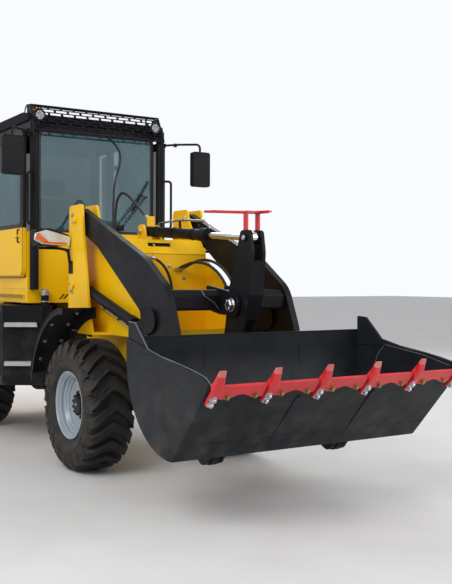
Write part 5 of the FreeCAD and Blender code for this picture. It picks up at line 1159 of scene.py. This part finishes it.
def add_headlamps():
    """Clear lens with its orange corner, chrome frame and the arm's clamp, on each headlamp body."""
    shape = [(-932, 1956, 12), (-836, 1985, 20), (-606, 1930, 14), (-622, 1850, 12), (-872, 1862, 14),
             (-948, 1900, 16)]
    corner = plate([(-928, 1952, 8), (-898, 1960, 8), (-812, 1884, 10), (-640, 1880, 6), (-652, 1862, 6),
                    (-858, 1870, 12), (-936, 1904, 10)], -552, -546, YZ, 2)
    rear = trim([(-620, 1862, 15), (-700, 1846, 20), (-905, 1850, 20), (-932, 1925, 25), (-925, 1990, 20),
                 (-800, 2000, 30), (-622, 1950, 15)], round_section(3.5, 3, -640), YZ)
    make("headlamp_lenses", "front_frame", "lamp_lens", (LENS, both(plate(shape, -563, -549, YZ, 4))),
         (ZINC, both(trim(shape, round_section(4.5, 2, -556), YZ))), (ORANGE, both(corner)),
         (PLASTIC, both(rear, collar(15, 18, 13, 15, (-560, -636, 1812), Z))))


# ------------------------------------------------------------------ seat
PIPING = 4.0                        # radius of the cushions' piping


def cushion(half_up, half_wide, corner, thickness, crown, channels=()):
    """Crowned closed pad: an outline with its sides pulled in, shrunk by f to the middle, at a height that
    swells by crown (1 - f^2), with sewn channels cut as narrow dips; returned with its piping."""
    outline = rounded(rectangle(-half_up, half_up, -half_wide, half_wide, corner), 10)[:, None]
    t = np.linspace(0, 1, 8, endpoint=False)[None, :, None]
    flat = (outline * (1 - t) + np.roll(outline, -1, 0) * t).reshape(-1, 2)
    flat = flat * (1 - 0.035 * (1 - (flat[:, :1] / half_up) ** 2)
                   * (1 - (flat[:, 1:] / half_wide) ** 2).clip(0, 1))
    rows = [(f, 0.0) for f in (0.04, 0.35, 0.7, 0.88)]
    rows += [(0.93 + 0.07 * math.cos(a), thickness * (0.42 + 0.38 * math.sin(a)))
             for a in np.linspace(-math.pi / 2, math.pi / 2, 9)]
    rows += [(f, thickness * 0.86 + crown * (1 - f ** 2) + thickness * 0.10 * (1 - f ** 8))
             for f in np.linspace(0.90, 0.03, 22)]
    points = []
    for f, height in rows:
        ring = flat * f
        z = np.full((len(ring), 1), height)
        if height > thickness * 0.6:
            for at in channels:
                z = z - 9.0 * np.exp(-((ring[:, :1] - at) / 9.0) ** 2) * (1 - f ** 6)
        points.append(np.c_[ring, z])
    edge = np.c_[flat * 1.003, np.full(len(flat), thickness * 0.42)]
    along = np.roll(edge, -1, 0) - np.roll(edge, 1, 0)
    out = np.stack([along[:, 1], -along[:, 0], along[:, 0] * 0], -1)
    out /= np.maximum(np.linalg.norm(out, axis=1, keepdims=True), 1e-9)
    a = (np.arange(8) * math.pi / 4)[:, None, None]
    piping = edge[None] + PIPING * (np.cos(a) * out[None] + np.sin(a) * np.array(Z))
    return merged(rings(np.stack(points)), outward(grid(piping, True, True)))


def add_seat():
    """Squab, backrest and headrest as padded forms with piping and sewn channels, on the seat's frame."""
    lean = math.atan2(25, 610)
    c, s = math.cos(lean), math.sin(lean)
    upright = [(-s, 0, c), Y, (c, 0, s)]
    pads = (("seat_squab", cushion(240, 240, 60, 80, 12, (-80, 60)), (-2216, 0, 1832), None, 0.8),
            ("seat_backrest", cushion(272, 230, 80, 70, 12, (-120, 10, 140)), (-2508, 0, 2156), upright, 0.8),
            ("headrest", cushion(86, 130, 45, 58, 8), (-2520, 0, 2558), upright, 0.9))
    for name, shape, place, turn, fill in pads:
        pad = make(name, "seat", "seat_fabric", (SEAT_CLOTH, moved(shape, place, turn)),
                   replaces=["seat_cushions"], crease=60)
    posts = [tube([(-2500, y, 2400), (-2496, y, 2500)], 6, 10, Y) for y in (-45, 45)]
    rails = [block(-2440, -1990, y - 12, y + 12, 1796, 1831, 3) for y in (-150, 150)]
    lever = tube(bent([(-2300, 205, 1812), (-2300, 262, 1812), (-2230, 268, 1850)], 20, 5), 7, 8)
    make("seat_frame", "seat", "dark_steel", (CHROME, *posts), (BLACK, *rails), (PLASTIC, lever))


# ------------------------------------------------------------------ backhoe
HOE_FOOT = np.array([-4180.0, 700.0])
BOOM_LONG, DIPPER_LONG, BUCKET_ARM, LEVER_LONG = 2350, 1500, 250, 330
BOOM_TURN = math.radians(78.9)
DIPPER_TURN = BOOM_TURN + math.pi - math.radians(34.0)
LINK_TURN = math.radians(-10.0) - math.radians(100)


def from_point(start, turn, along, out):
    """Side-view point at a distance along a member and out to its left, seen from the right of its run."""
    way = np.array([math.cos(turn), math.sin(turn)])
    across = np.array([math.sin(turn), -math.cos(turn)])
    return start + way * along + across * out


def on_boom(along, out):
    return from_point(HOE_FOOT, BOOM_TURN, along, out)


def on_dipper(along, out):
    return from_point(BOOM_TIP, DIPPER_TURN, along, -out)


def crossing(a, ra, b, rb):
    """Point at ra from a and rb from b, on the outer side."""
    gap = b - a
    span = np.linalg.norm(gap)
    along = (ra ** 2 - rb ** 2 + span ** 2) / (2 * span)
    high = math.sqrt(ra ** 2 - along ** 2)
    unit = gap / span
    return a + unit * along - high * np.array([-unit[1], unit[0]])


BOOM_TIP = on_boom(BOOM_LONG, 0)
BOOM_RAM = on_boom(217, 125), on_boom(1050, 190)              # pins at the ram's foot and its eye
DIPPER_RAM = on_boom(1220, 240), on_boom(2632, 103)
NOSE = on_dipper(DIPPER_LONG, 0)
LEVER_PIN = on_dipper(1230, 30)
LINK_PIN = from_point(NOSE, LINK_TURN, BUCKET_ARM, 0)
LEVER_TIP = crossing(LEVER_PIN, LEVER_LONG, LINK_PIN, LEVER_LONG)
BUCKET_RAM = on_dipper(300, 190), LEVER_TIP


def add_backhoe_pins():
    """Pin ends and keepers at the backhoe's pivots, each on the body that carries the pin."""
    rows = (("swing_post_pins", "swing_post", [(HOE_FOOT, 123, 30, 70), (BOOM_RAM[0], 123, 25, 0)]),
            ("hoe_boom_pins", "hoe_boom",
             [(BOOM_TIP, 91, 30, 0), (BOOM_RAM[1], 70, 22, 0), (DIPPER_RAM[0], 66, 25, 0)]),
            ("dipper_pins", "dipper",
             [(BUCKET_RAM[0], 60, 25, 0), (DIPPER_RAM[1], 58, 24, 0), (LEVER_PIN, 88, 22, 0)]),
            ("hoe_bucket_pins", "hoe_bucket", [(NOSE, 120, 27, 0), (LINK_PIN, 122, 24, 0)]),
            ("lever_pins", "tipping_levers", [(LEVER_TIP, 86, 24, 0)]))
    for name, body, places in rows:
        make(name, body, "chrome_rod",
             (ZINC, *[pins(radius, side_places(*at, y), keeper) for at, y, radius, keeper in places]))


def ram_gland(name, base, eye, length, radius):
    """Gland at a ram barrel's open end and the pipe along its outer side."""
    run = [along_line(base, eye, d, -out)
           for d, out in ((120, radius - 6), (130, radius + 14), (length - 90, radius + 14),
                          (length - 80, radius - 6))]
    make("%s_gland" % name, "%s_barrel" % name, "black_paint",
         (BLACK, gland(base, eye, 0, length, radius + 4, 55)),
         (ZINC, tube(bent(side_line(run, 0), 16, 5), 5.5, 10, Y)))


def pipe_run(place, run, levels, radius, clamps, reach):
    """Pipes side by side along a member, and their clamps of half size (u, v) between two levels."""
    u, v, low, high = reach
    pipes = [tube(bent(side_line([place(*at) for at in run], y), 200, 6), radius, 10, Y) for y in levels]
    return pipes, [block(x - u, x + u, low, high, z - v, z + v, 3) for x, z in (place(*at) for at in clamps)]


def add_backhoe_lines():
    """Glands on the three rams and steel pipes clamped along the boom and the dipper."""
    ram_gland("boom_ram", *BOOM_RAM, 765, 50)
    ram_gland("dipper_ram", *DIPPER_RAM, 860, 46)
    ram_gland("bucket_ram", *BUCKET_RAM, 800, 42)
    levels = (91, 109)
    lines, clamps = pipe_run(on_boom, ((150, -10), (1000, 20), (1250, 40), (2050, 20)), levels, 6,
                             ((300, -5), (900, 16), (1500, 33), (1950, 22)), (20, 14, 84, 118))
    ends = [collar(16, 12, 14, 10, (x, y, z), (math.cos(BOOM_TURN), 0, math.sin(BOOM_TURN)), 12)
            for x, z in (on_boom(165, -9), on_boom(2040, 20)) for y in levels]
    make("hoe_boom_lines", "hoe_boom", "black_paint", (ZINC, *lines), (BLACK, *clamps), (ZINC, *ends))
    lines, clamps = pipe_run(on_dipper, ((220, 10), (700, 20), (1120, 5)), (66, 82), 5.5,
                             ((300, 11), (1020, 8)), (16, 12, 57, 90))
    make("dipper_lines", "dipper", "black_paint", (ZINC, *lines), (BLACK, *clamps))


HOOD_REAR = -3280.0                 # rear face of the engine's housing
FOOT_Z = 336                        # sole of the stabilisers' feet, raised


def add_rear_details():
    """Grille bars, lamps and bolts on the rear housing, leg guides' collars, and the legs' foot pads."""
    upright = [block(HOOD_REAR - 2, HOOD_REAR + 4, y - 3, y + 3, 1042, 1378, 1) for y in range(-300, 301, 60)]
    edge = trim(rectangle(-330, 330, 1040, 1380, 12), round_section(6, 0, HOOD_REAR - 1), YZ)
    lamp_y = (-640.0, 640.0)
    lamps = [block(CAB_REAR - 40, CAB_REAR - 6, y - 52, y + 52, 1640, 1880, 8) for y in lamp_y]
    red, amber = ([plate(rectangle(y - 42, y + 42, z, z + 105, 10), CAB_REAR - 50, CAB_REAR - 39, YZ, 3)
                   for y in lamp_y] for z in (1650, 1765))
    top_bolts = bolts(18, [(x, y, 1560) for x in (-2910, -3110) for y in (-390, 390)], Z)
    side_bolts = both(bolts(18, [(x, 430, z) for x in (-2910, -3230) for z in (1010, 1380)], Y))
    guide = both(trim(rectangle(-3497, -3343, 773, 927, 10),
                      [(0, 1478), (-4, 1474), (-4, 1440), (0, 1436), (4, 1440), (4, 1474)], XY))
    guide_bolts = both(bolts(16, [(-3420, 931, 1457), (-3420, 769, 1457)], Y))
    make("rear_housing_details", "rear_frame", "yellow_paint", (YELLOW, *upright), (RUBBER, edge),
         (PLASTIC, *lamps), (RED, *red), (ORANGE, *amber), (ZINC, top_bolts, side_bolts), (YELLOW, guide),
         (ZINC, guide_bolts))
    foot = merged(plate(rectangle(-3536, -3304, 734, 966, 16), FOOT_Z, FOOT_Z + 6, XY, 2),
                  trim(rectangle(-3478, -3362, 792, 908, 4), round_section(3, -1, FOOT_Z + 44), XY),
                  block(-3530, -3310, 846, 854, FOOT_Z + 1, FOOT_Z + 36),
                  block(-3424, -3416, 740, 960, FOOT_Z + 1, FOOT_Z + 36))
    for name, side in SIDES:
        make("stabiliser_foot_%s" % name, "stabiliser_%s" % name, "black_paint", (BLACK, on_side(foot, side)))


# ------------------------------------------------------------------ studio
SKY_LEVEL = 0.60                    # light of the even sky; what the camera sees is 1
GLOSS_SHARE = 0.35                  # how far a reflection of the sky goes from that level to 1
LAMPS = (("key", (5.0, -7.0, 7.0), 5.0, 430.0), ("fill", (8.0, 5.0, 5.0), 6.0, 260.0),
         ("rim", (-7.0, 5.0, 7.0), 6.0, 420.0))          # name, place, size in metres, watts
AIM = Vector((0.5, 0, 1.2))         # what the lamps point at
FLOOR_REACH = 60.0


def add_studio():
    """Pale floor, even sky and three soft lamps."""
    scene = bpy.context.scene
    scene.view_settings.view_transform = "Standard"
    scene.world = bpy.data.worlds.new("studio")
    n = Nodes("sky", scene.world)
    ray = n.add("ShaderNodeLightPath").outputs
    seen = n.math("MAXIMUM", ray["Is Camera Ray"], ray["Is Transmission Ray"])
    shine = n.math("MAXIMUM", seen, n.math("MULTIPLY", ray["Is Glossy Ray"], GLOSS_SHARE))
    sky = n.fed("ShaderNodeBackground",
                {"Color": (0.95, 0.97, 1.0), "Strength": n.remap(shine, 0, 1, SKY_LEVEL)})
    n.feed(n.out, sky.outputs[0])
    for name, place, size, power in LAMPS:
        data = bpy.data.lights.new(name, "AREA")
        data.size = size
        data.energy = power
        lamp = bpy.data.objects.new(name, data)
        lamp.location = place
        lamp.rotation_euler = (AIM - Vector(place)).to_track_quat("-Z", "Y").to_euler()
        scene.collection.objects.link(lamp)
    n = Nodes("floor")
    n.shader(n.mix(n.remap(n.noise(1.5, 5.0), 0.3, 0.7), (0.70, 0.69, 0.675), (0.76, 0.75, 0.74)), 0.8)
    mesh = bpy.data.meshes.new("floor")
    corners = rectangle(-FLOOR_REACH, FLOOR_REACH, -FLOOR_REACH, FLOOR_REACH)
    mesh.from_pydata(corners, [], [(0, 1, 2, 3)])
    mesh.materials.append(n.material)
    floor = bpy.data.objects.new("floor", mesh)
    scene.collection.objects.link(floor)


for add in (add_camera, add_hoses, add_wheels, add_bucket_edge, add_bucket_details, add_loader_pins,
            add_loader_pipes, add_frame_details, add_pointer, add_visor, add_roof_lamps, add_windows,
            add_cab_details, add_tank_details, add_fender_details, add_headlamps, add_seat, add_backhoe_pins,
            add_backhoe_lines, add_rear_details, add_studio):
    add()
